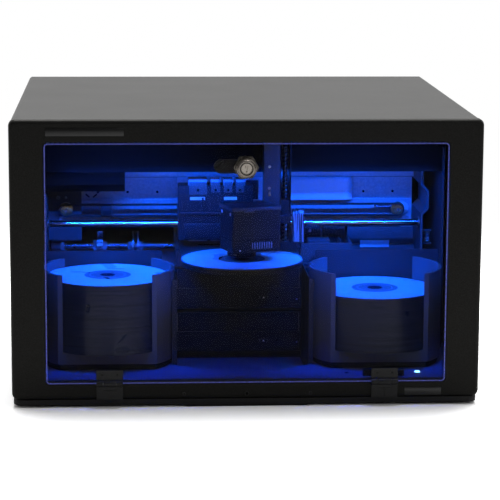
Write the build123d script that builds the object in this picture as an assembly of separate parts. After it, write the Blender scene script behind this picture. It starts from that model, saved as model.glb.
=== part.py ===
from build123d import *
from math import cos, pi, radians, sin, sqrt
import os

# Disc label printer: a 6U desktop case with a drop-down window door, two disc bins, two disc
# drives, an ink-jet mechanism with its disc tray, and a pick arm that carries discs between them.
# Millimetres. X is to the right seen from the front, Y to the back, Z up. The origin is on the
# surface that the feet stand on, under the middle of the case.

# ---- case -------------------------------------------------------------------------------------
CASE_W = 444.5            # width of the front bezel
CASE_D = 427.4            # bezel face to rear panel
FACE_H = 266.7            # height of the front bezel
FOOT_GAP = 2.2            # plinth to the surface it stands on
PLINTH_H = 5.5            # black skirt under the bezel
PLINTH_INSET = 1.2
PLINTH_WALL = 12.0
PLINTH_CORNERS = (9.0, 4.0)
PAD_R = 11.0
BEZEL_DEPTH = 12.0
BEZEL_WALL = 6.5          # thickness of the frame round the window
BEZEL_RIM = 3.0           # return flange at the outside
BEZEL_CORNER = 6.0
BEZEL_EDGE_R = 4.0
SEAM = 1.0                # shadow line between the bezel and the cover
COVER_WALL = 1.5
COVER_INSET = 1.0
COVER_BEND_R = 4.0
PAN_WALL = 2.0
PAN_FLANGE_H = 12.0
REAR_WALL = 2.0
FRONT_Y = -CASE_D / 2
REAR_Y = CASE_D / 2
FACE_Z = FOOT_GAP + PLINTH_H
TOP_Z = FACE_Z + FACE_H
COVER_HALF_W = CASE_W / 2 - COVER_INSET
COVER_TOP = TOP_Z - COVER_INSET
COVER_Y0 = FRONT_Y + BEZEL_DEPTH + SEAM
PAN_TOP = FACE_Z + PAN_WALL
PAN_HALF_W = COVER_HALF_W - COVER_WALL - 0.3
FIT = 0.3                 # gap between pieces that only sit near each other
RUNNING = 0.05            # radial clearance of a shaft in its bearing
BEZEL_SCREW_X = (-59.2, 60.9)
CASE_SCREW_R = 3.2

# ---- door, hinges and lock --------------------------------------------------------------------
DOOR_SIDE = 32.75         # bezel beside the door
DOOR_HEAD = 22.2          # bezel above the door
DOOR_FOOT = 15.5          # bezel below the door
DOOR_W = CASE_W - 2 * DOOR_SIDE
DOOR_H = FACE_H - DOOR_HEAD - DOOR_FOOT
DOOR_T = 5.5
DOOR_CORNER = 3.5
DOOR_GAP = 1.0
DOOR_Z = FACE_Z + DOOR_FOOT
DOOR_INNER_Y = FRONT_Y + DOOR_T
HINGE_X = (59.7 - DOOR_W / 2, DOOR_W / 2 - 58.0)
HINGE_W = 25.0
HINGE_KNUCKLE_R = 3.2
HINGE_PIN_R = 1.2
HINGE_LEAF_T = 2.2
HINGE_LEAF_H = 9.5
HINGE_MID_W = 12.0
HINGE_Y = FRONT_Y - HINGE_KNUCKLE_R - 0.2
HINGE_Z = DOOR_Z + 0.7
HINGE_SCREW_R = 1.6
HINGE_SCREW_H = 0.5
LOCK_X = -1.0
LOCK_Z = DOOR_Z + DOOR_H - 23.6
LOCK_FACE_R = 8.6
LOCK_BODY_R = 7.0
LOCK_PLUG_R = 5.2
LOCK_FACE_T = 5.0
LOCK_NUT_FLATS = 21.0
LOCK_NUT_T = 6.0
LOCK_CAM_LEN = 30.0
LOCK_CAM_W = 13.0
LOCK_CAM_T = 2.2
LOCK_KEY_SLOT = (1.4, 6.0, 3.0)   # width, height, depth
PROJECTION = FRONT_Y - (HINGE_Y - HINGE_KNUCKLE_R)
BADGE_DEPTH = 0.4
BADGE_CORNER = 0.8
UPPER_BADGE = (73.7, 8.5, 70.75, 11.4)    # width, height, then its middle from the case's side and top
LOWER_BADGE = (36.2, 8.6, 53.55, 6.0)     # width, height, then its middle from the case's side and foot

# ---- chamber floor ----------------------------------------------------------------------------
AXIS_Y = FRONT_Y + 93.7    # the bins, the tray's disc and the gripper share this line
DECK_TOP = 24.7
DECK_T = 2.5
DECK_Y0 = FRONT_Y + 8.0
DECK_Y1 = AXIS_Y + 63.0
DECK_HALF_W = COVER_HALF_W - 4.25
DECK_SKIRT = 2.0
WELL_HALF_W = 66.5
WELL_BOW_R = 90.0
WELL_FRONT_Y = AXIS_Y - 53.0
WALL_X = 64.6             # inner face of the sheet walls beside the well
WALL_T = 1.0
WALL_LIP = 4.6            # bright flange on their front edge
WALL_Y0 = AXIS_Y - 23.0
WALL_TOP = 109.6

# ---- discs and bins ---------------------------------------------------------------------------
DISC_R = 60.0
DISC_BORE_R = 7.5
DISC_T = 1.15
DISC_PITCH = 1.2
BIN_X = 132.0
BIN_R = 65.5
BIN_WALL = 3.2
BIN_H = 88.0
BIN_FLOOR_T = 11.5
BIN_CUT = 45.0            # half width of the arc walls, front to back
SEAT_H = 6.0
SEAT_R = 63.0
BIN_Z = DECK_TOP + SEAT_H
LEFT_DISCS = 57
RIGHT_DISCS = 45

# ---- drives -----------------------------------------------------------------------------------
DRIVE_W = 146.0
DRIVE_H = 41.3
DRIVE_D = 170.0
DRIVE_PITCH = 44.9
DRIVE_Z = 17.8            # underside of the lower drive
DRIVE_Y = AXIS_Y + 70.0
FASCIA_W = 148.0
FASCIA_T = 5.0
TRAY_W = 120.0
TRAY_T = 6.0
TRAY_TRAVEL = 120.0
TRAY_LEN = TRAY_TRAVEL + 8.0
TRAY_FRONT_W = 124.0
TRAY_FRONT_H = 20.4
TRAY_FRONT_T = 4.0
TRAY_BEZEL_RIM = 0.5
EJECT_X = 26.0
EJECT_SIZE = (8.0, 2.4)   # width and height
EJECT_Z = 11.0            # above the drive's underside
EJECT_TRAVEL = 0.8
DRIVE_LAMP = (60.0, 9.0)  # its place on the fascia, from the middle and the underside
TRAY_DISC_Y = 64.0        # the disc recess, behind the drive's front
CAGE_T = 1.5
CAGE_GAP = 0.4

# ---- inner frame ------------------------------------------------------------------------------
FRAME_X = COVER_HALF_W - 17.25
FRAME_T = 2.0
FRAME_Y0 = AXIS_Y + 45.0
FRAME_Y1 = FRAME_Y0 + 135.0
FRAME_TOP = TOP_Z - 19.4
PANEL_X = 78.0
PANEL_TOP = 123.2
PANEL_T = 2.0
BASE_T = 2.0
BASE_Y0 = DRIVE_Y - FASCIA_T
BASE_Y1 = REAR_Y - REAR_WALL - 6.7

# ---- printer ----------------------------------------------------------------------------------
PRINT_TRAY_R = 59.0
PRINT_TRAY_Z = 119.7
PRINT_TRAY_T = 5.0
PRINT_TRAY_Y1 = AXIS_Y + 170.0
RAIL_LEDGE = 7.0
RAIL_WALL = 3.0
ROD_R = 3.5
ROD_Y = AXIS_Y + 92.0
ROD_Z = 146.2
CARRIAGE_X = (-61.0, 15.0)
CARRIAGE_Y = (ROD_Y - 21.0, ROD_Y + 20.0)
CARRIAGE_Z = (132.4, 188.0)
CARRIAGE_WALL = 2.0
INK_TOP = 194.0
INK_BOTTOM = 130.6
INK_D = 20.0              # front to back
INK_SIDE = 10.5           # from the carriage's left side to the first cartridge
INK_WIDTHS = (19.0, 9.5, 9.5, 9.5)
INK_PITCHES = (0.0, 22.5, 35.5, 48.0)
BELT_Y = (ROD_Y + 32.0, ROD_Y + 38.0)
BELT_Z = 154.4
PULLEY_R = 5.0
PULLEY_POST_R = 1.5
MOTOR_R = 13.0
MOTOR_D = 30.0
BELT_T = 1.2
BELT_X = (28.0 - FRAME_X, FRAME_X - 34.0)
BACK_Y = ROD_Y + 58.0
BACK_T = 1.5
BACK_Z = (139.6, 192.0)
BACK_X = (12.0 - FRAME_X, FRAME_X - 16.5)
FEED_Y = ROD_Y + 48.0
FEED_Z = 114.6
FEED_R = 3.0
FEED_WHEEL_R = 15.0
FEED_ROLLER_R = PRINT_TRAY_Z - FEED_Z - FIT
FEED_GEAR_X = 63.0 - FRAME_X
FEED_GEAR_W = 6.0
FEED_WHEEL_X = (-106.5, -101.5)
FEED_ROLLER_X = (-38.0, 38.0)
GEAR_TEETH = 24
FLEX_W = 22.0
FLEX_T = 0.6
FLEX_BEND_R = 8.0

# ---- pick arm ---------------------------------------------------------------------------------
BEAM_Y = (ROD_Y - 44.0, ROD_Y - 24.0)
BEAM_Z = (TOP_Z - 69.2, TOP_Z - 22.4)
BEAM_WALL = 3.0
ARM_SCREW_Y = BEAM_Y[0] - 10.0
ARM_SCREW_Z = BEAM_Z[1] - 12.0
ARM_SCREW_R = 4.0
COLUMN_X = (23.0, 38.4)
CHANNEL_X = (38.6, 50.0)
COLUMN_Y = (BEAM_Y[0] - 26.0, BEAM_Y[0] - FIT)
COLUMN_BOTTOM = 137.2
LIFT_SCREW_R = 2.5
LIFT_SCREW_Y = BEAM_Y[0] - 18.0
LIFT_NUT_H = 20.0
HEAD_W = 50.0
HEAD_D = 36.0
HEAD_TURN = 18.0          # the head stands turned to its column, seen from above
HEAD_CORNER = (-10.4, AXIS_Y - 30.0)
HEAD_Z = (136.2, 180.2)
COLUMN_CAP = 12.0         # the head's lift ends under it
COLUMN_Z = (COLUMN_BOTTOM, BEAM_Z[1] - 2.0)
HEAD_WALL = 2.0
NOSE_R = 14.0
NOSE_Z = 129.4
FINGER_Z = 127.6
ARM_FLEX_X = (52.0, 63.0)

# ---- small parts and electrics ----------------------------------------------------------------
BUTTON_X = FRAME_X - 37.0
BUTTON_Y = FRONT_Y + 29.2
BUTTON_R = 2.6
BUTTON_H = 5.0
BUTTON_TRAVEL = 1.0
BUTTON_PROUD = BUTTON_TRAVEL + 0.6
SENSOR_X = BUTTON_X - 68.5
SENSOR_R = 1.8
SWITCH_X = (HINGE_X[1] - 18.5, HINGE_X[1] + 21.0)
SWITCH_Y = (FRONT_Y + 16.2, FRONT_Y + 22.2)
SWITCH_H = 6.0
LED_X = (58.0, FRAME_X - 26.0)
LED_Y = FRONT_Y + 14.7
LED_Z = TOP_Z - 12.4
LED_COUNT = 6
LED_BOARD_T = 1.6
FAN_SIZE = 60.0
FAN_T = 15.0
FAN_X = COVER_HALF_W - 71.25
FAN_Z = TOP_Z - 69.4
FAN_BLADES = 7
FAN_SHAFT_R = 2.0
SOCKET_X = 71.25 - COVER_HALF_W
SOCKET_Z = FACE_Z + 52.3
INLET_FACE = (50.0, 28.0)      # flange, width and height
INLET_BODY = (27.2, 23.2)
INLET_MOUTH = (23.6, 15.6)
INLET_DEPTH = 14.0
DATA_PITCH = 59.0              # mains inlet to data socket
DATA_BODY = (12.8, 12.0)
DATA_MOUTH = (9.0, 8.8)
DATA_DEPTH = 8.0
VENT_SLOT = (16.0, 4.0)
VENT_PITCH = (22.0, 16.0)
VENT_COUNT = (8, 3)
SUPPLY_GAP = 4.0
SUPPLY_W = 85.2
SUPPLY_Z = (BACK_Z[1] - 10.2, FRAME_TOP - 5.0)
BOARD_GAP = 8.0
BOARD_W = 108.0
BOARD_D = 170.0
BOARD_T = 1.6
BOARD_POST = 8.0
# left edge, front edge, width, depth and height of each part on the board
BOARD_PARTS = ((14, 28, 24, 24, 3), (61, 53, 30, 14, 8), (27, 111, 18, 18, 12), (80, 110, 12, 40, 10))
SPRING_COILS = 6
SPRING_R = 2.8
SPRING_WIRE_R = 0.45
SPRING_PITCH = 1.7
SPRING_Z = 127.0
SPRING_PEG_R = 0.9
CHEEK_X = FRAME_X - 15.0  # middle of the right cheek's sheet
CHEEK_T = 2.0
CHEEK_TOP = 203.0
LEFT_CHEEK_X = 8.0 - FRAME_X
LEFT_CHEEK_TOP = 178.0
SPRING_X = CHEEK_X + 6.6
SPRING_Y = ROD_Y - 6.0
FINGER_D = 4.0            # front to back
FINGER_W = 3.0


def block(x0, x1, y0, y1, z0, z1):
    """A box between two corners."""
    centre = ((x0 + x1) / 2, (y0 + y1) / 2, (z0 + z1) / 2)
    return Pos(*centre) * Box(abs(x1 - x0), abs(y1 - y0), abs(z1 - z0))


def rod_x(x0, x1, y, z, r):
    """A round bar along X."""
    return Pos((x0 + x1) / 2, y, z) * Rot(0, 90, 0) * Cylinder(r, abs(x1 - x0))


def rod_y(y0, y1, x, z, r):
    """A round bar along Y."""
    return Pos(x, (y0 + y1) / 2, z) * Rot(90, 0, 0) * Cylinder(r, abs(y1 - y0))


def rod_z(z0, z1, x, y, r):
    """A round bar along Z."""
    return Pos(x, y, (z0 + z1) / 2) * Cylinder(r, abs(z1 - z0))


def mirrored(shape):
    """The same piece on the other side of the machine."""
    return mirror(shape, Plane.YZ)


def front_plate(w, h, corner, y0, y1, z_mid, x_mid=0.0):
    """A rounded rectangle that faces the front, between two depths."""
    plane = Plane(origin=(x_mid, y0, z_mid), x_dir=(1, 0, 0), z_dir=(0, 1, 0))
    return extrude(plane * RectangleRounded(w, h, corner), y1 - y0)


# ---- case -------------------------------------------------------------------------------------
def plinth():
    w = CASE_W - 2 * PLINTH_INSET
    d = CASE_D - 2 * PLINTH_INSET
    outer_r, inner_r = PLINTH_CORNERS
    outer = extrude(RectangleRounded(w, d, outer_r), PLINTH_H)
    inner = extrude(RectangleRounded(w - 2 * PLINTH_WALL, d - 2 * PLINTH_WALL, inner_r), PLINTH_H)
    return Pos(0, 0, FOOT_GAP) * (outer - inner)


def feet():
    bar_top = 64.5
    bar_bottom = 55.2
    bar_d = 16.0
    bar_y = FRONT_Y + PLINTH_INSET
    with_bevel = Polygon((-bar_top, 0), (-bar_bottom, -FOOT_GAP), (bar_bottom, -FOOT_GAP),
                         (bar_top, 0), align=None)
    plane = Plane(origin=(0, bar_y + bar_d, FOOT_GAP), x_dir=(1, 0, 0), z_dir=(0, -1, 0))
    pads = [extrude(plane * with_bevel, bar_d)]
    for sx in (-1, 1):
        for sy in (-1, 1):
            pads.append(rod_z(0, FACE_Z, sx * (CASE_W / 2 - 42.25), sy * (CASE_D / 2 - 43.7), PAD_R))
    return Compound(children=pads)


def base_pan():
    y0 = FRONT_Y + BEZEL_DEPTH + FIT
    y1 = REAR_Y - REAR_WALL
    floor = block(-PAN_HALF_W, PAN_HALF_W, y0, y1, FACE_Z, PAN_TOP)
    for sx in (-1, 1):
        floor += block(sx * PAN_HALF_W, sx * (PAN_HALF_W - PAN_WALL), y0, y1,
                       FACE_Z, FACE_Z + PAN_FLANGE_H)
    return floor


def case_cover():
    w = 2 * COVER_HALF_W
    open_foot = 20.0                      # cut off below the pan, so that the cover is open there
    h = COVER_TOP - FACE_Z + open_foot
    outer = RectangleRounded(w, h, COVER_BEND_R)
    inner = RectangleRounded(w - 2 * COVER_WALL, h - 2 * COVER_WALL, COVER_BEND_R - COVER_WALL)
    plane = Plane(origin=(0, COVER_Y0, COVER_TOP - h / 2), x_dir=(1, 0, 0), z_dir=(0, -1, 0))
    shell = extrude(plane * (outer - inner), -(REAR_Y - COVER_Y0))
    return shell - block(-CASE_W, CASE_W, FRONT_Y, REAR_Y + 1, FACE_Z - 2 * open_foot, FACE_Z)


def front_bezel():
    mid = FACE_Z + FACE_H / 2
    slab = front_plate(CASE_W, FACE_H, BEZEL_CORNER, FRONT_Y, FRONT_Y + BEZEL_DEPTH, mid)
    slab = fillet(slab.faces().sort_by(Axis.Y)[0].edges(), BEZEL_EDGE_R)
    hollow = front_plate(CASE_W - 2 * BEZEL_RIM, FACE_H - 2 * BEZEL_RIM, BEZEL_CORNER - 1.5,
                         FRONT_Y + BEZEL_WALL, FRONT_Y + BEZEL_DEPTH + 1, mid)
    window = front_plate(DOOR_W + 2 * DOOR_GAP, DOOR_H + 2 * DOOR_GAP, DOOR_CORNER + DOOR_GAP,
                         FRONT_Y - 1, FRONT_Y + BEZEL_DEPTH + 1, DOOR_Z + DOOR_H / 2)
    w, h, side, head = UPPER_BADGE
    upper = badge_place(w, h, side - CASE_W / 2, TOP_Z - head)
    w, h, side, foot = LOWER_BADGE
    lower = badge_place(w, h, CASE_W / 2 - side, FACE_Z + foot)
    return slab - hollow - window - upper - lower


def badge_place(w, h, x, z):
    """The shallow recess for a badge in the bezel's face."""
    return front_plate(w, h, BADGE_CORNER, FRONT_Y - 1, FRONT_Y + BADGE_DEPTH, z, x)


def rear_panel():
    y0 = REAR_Y - REAR_WALL
    half_w = COVER_HALF_W - COVER_WALL - FIT
    z0 = PAN_TOP + FIT
    z1 = COVER_TOP - COVER_WALL - FIT
    panel = front_plate(2 * half_w, z1 - z0, COVER_BEND_R - COVER_WALL, y0, REAR_Y, (z0 + z1) / 2)
    panel -= rod_y(y0 - 1, REAR_Y + 1, FAN_X, FAN_Z, FAN_SIZE / 2 - 2)
    panel -= socket_cut(SOCKET_X, INLET_BODY, 0.4)
    panel -= socket_cut(SOCKET_X + DATA_PITCH, DATA_BODY, 0.6)
    w, h = VENT_SLOT
    cols, rows = VENT_COUNT
    for row in range(rows):
        for col in range(cols):
            x = SOCKET_X - 20 + col * VENT_PITCH[0]
            z = FAN_Z - 25 + row * VENT_PITCH[1]
            panel -= front_plate(w, h, h / 2 - 0.1, y0 - 1, REAR_Y + 1, z, x)
    return panel


def socket_cut(x, size, gap):
    """The hole in the rear panel for a socket of this size."""
    w, h = size
    return block(x - w / 2 - gap, x + w / 2 + gap, REAR_Y - REAR_WALL - 1, REAR_Y + 1,
                 SOCKET_Z - h / 2 - gap, SOCKET_Z + h / 2 + gap)


def case_screws():
    heads = [rod_y(FRONT_Y - 0.5, FRONT_Y, x, FACE_Z + 4.9, 1.6) for x in BEZEL_SCREW_X]
    corner_x = COVER_HALF_W - 16.25
    rear = [(-corner_x, COVER_TOP - 11.4), (0, COVER_TOP - 11.4), (corner_x, COVER_TOP - 11.4),
            (-corner_x, FACE_Z + 22.3), (corner_x, FACE_Z + 22.3)]
    for x, z in rear:
        heads.append(rod_y(REAR_Y, REAR_Y + 1.8, x, z, CASE_SCREW_R))
    for sx in (-1, 1):
        for y in (FRONT_Y + 63.7, REAR_Y - 63.7):
            heads.append(rod_x(sx * COVER_HALF_W, sx * (COVER_HALF_W + 0.9), y, FACE_Z + 6.8, CASE_SCREW_R))
    return Compound(children=heads)


# ---- door -------------------------------------------------------------------------------------
def door_panel():
    pane = front_plate(DOOR_W, DOOR_H, DOOR_CORNER, FRONT_Y, DOOR_INNER_Y, DOOR_Z + DOOR_H / 2)
    return pane - rod_y(FRONT_Y - 1, DOOR_INNER_Y + 1, LOCK_X, LOCK_Z, LOCK_BODY_R)


def hinge_door_leaves():
    pieces = []
    for x in HINGE_X:
        half = HINGE_W / 2
        mid = HINGE_MID_W / 2
        top = HINGE_Z + HINGE_KNUCKLE_R + HINGE_LEAF_H
        leaf = block(x - half, x + half, FRONT_Y - HINGE_LEAF_T, FRONT_Y,
                     HINGE_Z + HINGE_KNUCKLE_R + FIT, top)
        neck = block(x - mid, x + mid, HINGE_Y, FRONT_Y, HINGE_Z + 0.2,
                     HINGE_Z + HINGE_KNUCKLE_R + FIT)
        knuckle = rod_x(x - mid, x + mid, HINGE_Y, HINGE_Z, HINGE_KNUCKLE_R)
        leaf = leaf + neck + knuckle
        leaf -= rod_x(x - half, x + half, HINGE_Y, HINGE_Z, HINGE_PIN_R + RUNNING)
        pieces.append(leaf)
        for sx in (-1, 1):
            z = top - 4.2
            pieces.append(rod_y(FRONT_Y - HINGE_LEAF_T - HINGE_SCREW_H, FRONT_Y - HINGE_LEAF_T,
                                x + sx * 7.2, z, HINGE_SCREW_R))
    return Compound(children=pieces)


def hinge_frame_leaves():
    leaves = []
    for x in HINGE_X:
        half = HINGE_W / 2
        mid = HINGE_MID_W / 2 + FIT
        foot = FACE_Z + 0.4
        head = DOOR_Z - DOOR_GAP - 1.6
        leaf = block(x - half, x + half, FRONT_Y - HINGE_LEAF_T, FRONT_Y, foot, head)
        groove = block(x - 0.4, x + 0.4, FRONT_Y - HINGE_LEAF_T - 1, FRONT_Y - HINGE_LEAF_T + 0.8,
                       foot - 1, head - 3.6)
        slot = block(x - 5.6, x + 5.6, FRONT_Y - HINGE_LEAF_T - 1, FRONT_Y - HINGE_LEAF_T + 0.8,
                     head - 3.6, head - 2.8)
        leaf = leaf - groove - slot
        for sx in (-1, 1):
            inner = x + sx * mid
            outer = x + sx * half
            leaf += rod_x(inner, outer, HINGE_Y, HINGE_Z, HINGE_KNUCKLE_R)
            leaf += block(inner, outer, HINGE_Y - 0.6, HINGE_Y + 1.6, head - 0.5, HINGE_Z)
        leaf -= rod_x(x - half - 1, x + half + 1, HINGE_Y, HINGE_Z, HINGE_PIN_R)
        leaves.append(leaf)
    return Compound(children=leaves)


def hinge_pins():
    half = HINGE_W / 2
    return Compound(children=[rod_x(x - half, x + half, HINGE_Y, HINGE_Z, HINGE_PIN_R)
                              for x in HINGE_X])


def lock_body():
    nut_y = DOOR_INNER_Y + LOCK_NUT_T
    barrel = rod_y(FRONT_Y, nut_y, LOCK_X, LOCK_Z, LOCK_BODY_R)
    face = rod_y(FRONT_Y - LOCK_FACE_T, FRONT_Y, LOCK_X, LOCK_Z, LOCK_FACE_R)
    face = chamfer(face.faces().sort_by(Axis.Y)[0].edges(), 1.0)
    barrel = barrel + face
    bore = rod_y(FRONT_Y - LOCK_FACE_T - 1, nut_y + 1, LOCK_X, LOCK_Z, LOCK_PLUG_R + RUNNING)
    plane = Plane(origin=(LOCK_X, DOOR_INNER_Y, LOCK_Z), x_dir=(1, 0, 0), z_dir=(0, 1, 0))
    nut = extrude(plane * RegularPolygon(LOCK_NUT_FLATS / 2, 6, major_radius=False), LOCK_NUT_T)
    nut -= rod_y(DOOR_INNER_Y - 1, nut_y + 1, LOCK_X, LOCK_Z, LOCK_BODY_R)
    return Compound(children=[barrel - bore, nut])


def lock_plug():
    nut_y = DOOR_INNER_Y + LOCK_NUT_T
    cam_y = nut_y + FIT
    front = FRONT_Y - LOCK_FACE_T + 0.6
    plug = rod_y(front, cam_y, LOCK_X, LOCK_Z, LOCK_PLUG_R)
    slot_w, slot_h, slot_d = LOCK_KEY_SLOT
    plug -= block(LOCK_X - slot_w / 2, LOCK_X + slot_w / 2, front - 1, front + slot_d,
                  LOCK_Z - slot_h / 2, LOCK_Z + slot_h / 2)
    plane = Plane(origin=(LOCK_X, cam_y, LOCK_Z), x_dir=(1, 0, 0), z_dir=(0, 1, 0))
    tip_r = LOCK_CAM_W / 2
    lever = Pos(-(LOCK_CAM_LEN - tip_r) / 2, 0) * SlotCenterToCenter(LOCK_CAM_LEN - tip_r, LOCK_CAM_W)
    cam = extrude(plane * lever, LOCK_CAM_T)
    screw = rod_y(cam_y + LOCK_CAM_T, cam_y + LOCK_CAM_T + 1.6, LOCK_X, LOCK_Z, 3.4)
    return Compound(children=[plug, cam, screw])


# ---- chamber ----------------------------------------------------------------------------------
def deck_plate():
    z0 = DECK_TOP - DECK_T
    plate = block(-DECK_HALF_W, DECK_HALF_W, DECK_Y0, DECK_Y1, z0, DECK_TOP)
    sag = WELL_BOW_R - sqrt(WELL_BOW_R ** 2 - WELL_HALF_W ** 2)
    side_y = WELL_FRONT_Y + sag
    outline = Polyline((WELL_HALF_W, side_y), (WELL_HALF_W, DECK_Y1 + 1),
                       (-WELL_HALF_W, DECK_Y1 + 1), (-WELL_HALF_W, side_y))
    bow = ThreePointArc((-WELL_HALF_W, side_y), (0, WELL_FRONT_Y), (WELL_HALF_W, side_y))
    well = extrude(Pos(0, 0, z0 - 1) * make_face([outline, bow]), DECK_T + 2)
    plate -= well
    plate -= rod_z(z0 - 1, DECK_TOP + 1, BUTTON_X, BUTTON_Y, BUTTON_R + FIT)
    plate -= rod_z(DECK_TOP - 1, DECK_TOP + 1, SENSOR_X, BUTTON_Y + 1.7, SENSOR_R)
    plate += block(-DECK_HALF_W, DECK_HALF_W, DECK_Y0, DECK_Y0 + DECK_SKIRT, FACE_Z + 4, z0)
    skirt_y0 = FRONT_Y + BEZEL_DEPTH + 2
    skirt_x = DECK_HALF_W - 4
    for sx in (-1, 1):
        plate += block(sx * skirt_x, sx * (skirt_x - DECK_SKIRT), skirt_y0, DECK_Y1, PAN_TOP, z0)
        plate -= block(sx * (FRAME_X - FIT), sx * (FRAME_X + FRAME_T + FIT), FRAME_Y0 - FIT, DECK_Y1 + 1,
                       z0 - 1, DECK_TOP + 1)
    return plate


def chute_walls():
    side_y = DRIVE_Y - FASCIA_T - FIT
    wall = block(WALL_X, WALL_X + WALL_T, WALL_Y0, side_y, PAN_TOP, WALL_TOP)
    lip = block(WALL_X, WALL_X + WALL_LIP, WALL_Y0 - WALL_T, WALL_Y0, DECK_TOP + FIT, WALL_TOP)
    right = wall + lip
    return Compound(children=[right, mirrored(right)])


def bin_seats():
    seats = []
    for x in (-BIN_X, BIN_X):
        seats.append(rod_z(DECK_TOP, BIN_Z, x, AXIS_Y, SEAT_R) & bin_strip(x, DECK_TOP, BIN_Z, 2.0))
    return Compound(children=seats)


def bin_strip(x, z0, z1, inset=0.0):
    """The stretch, front to back, that a bin's two flat cuts leave."""
    half = BIN_CUT - inset
    return block(x - BIN_R - 1, x + BIN_R + 1, AXIS_Y - half, AXIS_Y + half, z0, z1)


def disc_bin(x):
    wall = rod_z(BIN_Z, BIN_Z + BIN_H, x, AXIS_Y, BIN_R)
    wall -= rod_z(BIN_Z + BIN_FLOOR_T, BIN_Z + BIN_H + 1, x, AXIS_Y, BIN_R - BIN_WALL)
    under = rod_z(BIN_Z - 1, BIN_Z + BIN_FLOOR_T - BIN_WALL, x, AXIS_Y, BIN_R - BIN_WALL)
    under &= bin_strip(x, BIN_Z - 1, BIN_Z + BIN_FLOOR_T, BIN_WALL)
    return (wall & bin_strip(x, BIN_Z, BIN_Z + BIN_H)) - under


def disc(x, y, z):
    return Pos(x, y, z + DISC_T / 2) * (Cylinder(DISC_R, DISC_T) - Cylinder(DISC_BORE_R, DISC_T))


def disc_stack(x, count):
    floor = BIN_Z + BIN_FLOOR_T
    return Compound(children=[disc(x, AXIS_Y, floor + i * DISC_PITCH) for i in range(count)])


def inner_panels():
    pieces = []
    for sx in (-1, 1):
        side = block(sx * FRAME_X, sx * (FRAME_X + FRAME_T), FRAME_Y0, FRAME_Y1, PAN_TOP, FRAME_TOP)
        pieces.append(side)
        pieces.append(block(sx * PANEL_X, sx * FRAME_X, DECK_Y1, DECK_Y1 + PANEL_T, PAN_TOP, PANEL_TOP))
    return Compound(children=pieces)


# ---- drives -----------------------------------------------------------------------------------
def drive_z(index):
    return DRIVE_Z + index * DRIVE_PITCH


def drive_cage():
    top = drive_z(1) + DRIVE_H + CAGE_GAP
    half = DRIVE_W / 2 + CAGE_GAP
    cage = block(-half - CAGE_T, half + CAGE_T, DRIVE_Y, DRIVE_Y + DRIVE_D, top, top + CAGE_T)
    for sx in (-1, 1):
        cage += block(sx * half, sx * (half + CAGE_T), DRIVE_Y, DRIVE_Y + DRIVE_D, PAN_TOP, top)
        for index in (0, 1):
            z = drive_z(index) - CAGE_T
            cage += block(sx * (half - 8), sx * half, DRIVE_Y, DRIVE_Y + DRIVE_D, z, z + CAGE_T)
    return cage


def drive_bodies():
    bodies = []
    for index in (0, 1):
        z = drive_z(index)
        body = block(-DRIVE_W / 2, DRIVE_W / 2, DRIVE_Y, DRIVE_Y + DRIVE_D, z, z + DRIVE_H)
        mouth = block(-TRAY_W / 2 - 1, TRAY_W / 2 + 1, DRIVE_Y - 1, DRIVE_Y + TRAY_LEN + 4,
                      z + DRIVE_H - TRAY_FRONT_H, z + DRIVE_H - 3)
        switch_well = rod_y(DRIVE_Y - 1, DRIVE_Y + 2, EJECT_X, z + EJECT_Z, 1.0)
        bodies.append(body - mouth - switch_well)
    return Compound(children=bodies)


def drive_bezels():
    bezels = []
    for index in (0, 1):
        z = drive_z(index)
        y0 = DRIVE_Y - FASCIA_T
        plate = block(-FASCIA_W / 2, FASCIA_W / 2, y0, DRIVE_Y, z - 0.1, z + DRIVE_H + 0.1)
        opening = block(-TRAY_FRONT_W / 2 - FIT, TRAY_FRONT_W / 2 + FIT, y0 - 1, DRIVE_Y + 1,
                        z + DRIVE_H - TRAY_FRONT_H - FIT, z + DRIVE_H - TRAY_BEZEL_RIM)
        w, h = EJECT_SIZE
        eject = block(EJECT_X - w / 2 - FIT, EJECT_X + w / 2 + FIT, y0 - 1, DRIVE_Y + 1,
                      z + EJECT_Z - h / 2 - FIT, z + EJECT_Z + h / 2 + FIT)
        lamp = rod_y(y0 - 1, y0 + 1, DRIVE_LAMP[0], z + DRIVE_LAMP[1], 0.8)
        bezels.append(plate - opening - eject - lamp)
    return Compound(children=bezels)


def drive_tray(index):
    z = drive_z(index) + DRIVE_H - TRAY_FRONT_H
    front_y = DRIVE_Y - FASCIA_T
    front = block(-TRAY_FRONT_W / 2, TRAY_FRONT_W / 2, front_y, front_y + TRAY_FRONT_T,
                  z, z + TRAY_FRONT_H - TRAY_BEZEL_RIM - FIT)
    z0 = z + 4
    slab = block(-TRAY_W / 2, TRAY_W / 2, front_y + TRAY_FRONT_T, DRIVE_Y + TRAY_LEN, z0, z0 + TRAY_T)
    centre_y = DRIVE_Y + TRAY_DISC_Y
    slab -= rod_z(z0 + TRAY_T - 2.5, z0 + TRAY_T + 1, 0, centre_y, TRAY_W / 2 - 0.9)
    spindle_slot = block(-18, 18, centre_y - 20, centre_y + 45, z0 - 1, z0 + TRAY_T + 1)
    return front + slab - spindle_slot


def eject_button(index):
    w, h = EJECT_SIZE
    z = drive_z(index) + EJECT_Z
    y0 = DRIVE_Y - FASCIA_T - EJECT_TRAVEL
    return block(EJECT_X - w / 2, EJECT_X + w / 2, y0, y0 + FASCIA_T - FIT, z - h / 2, z + h / 2)


# ---- printer ----------------------------------------------------------------------------------
def base_z():
    return drive_z(1) + DRIVE_H + CAGE_GAP + CAGE_T


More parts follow.
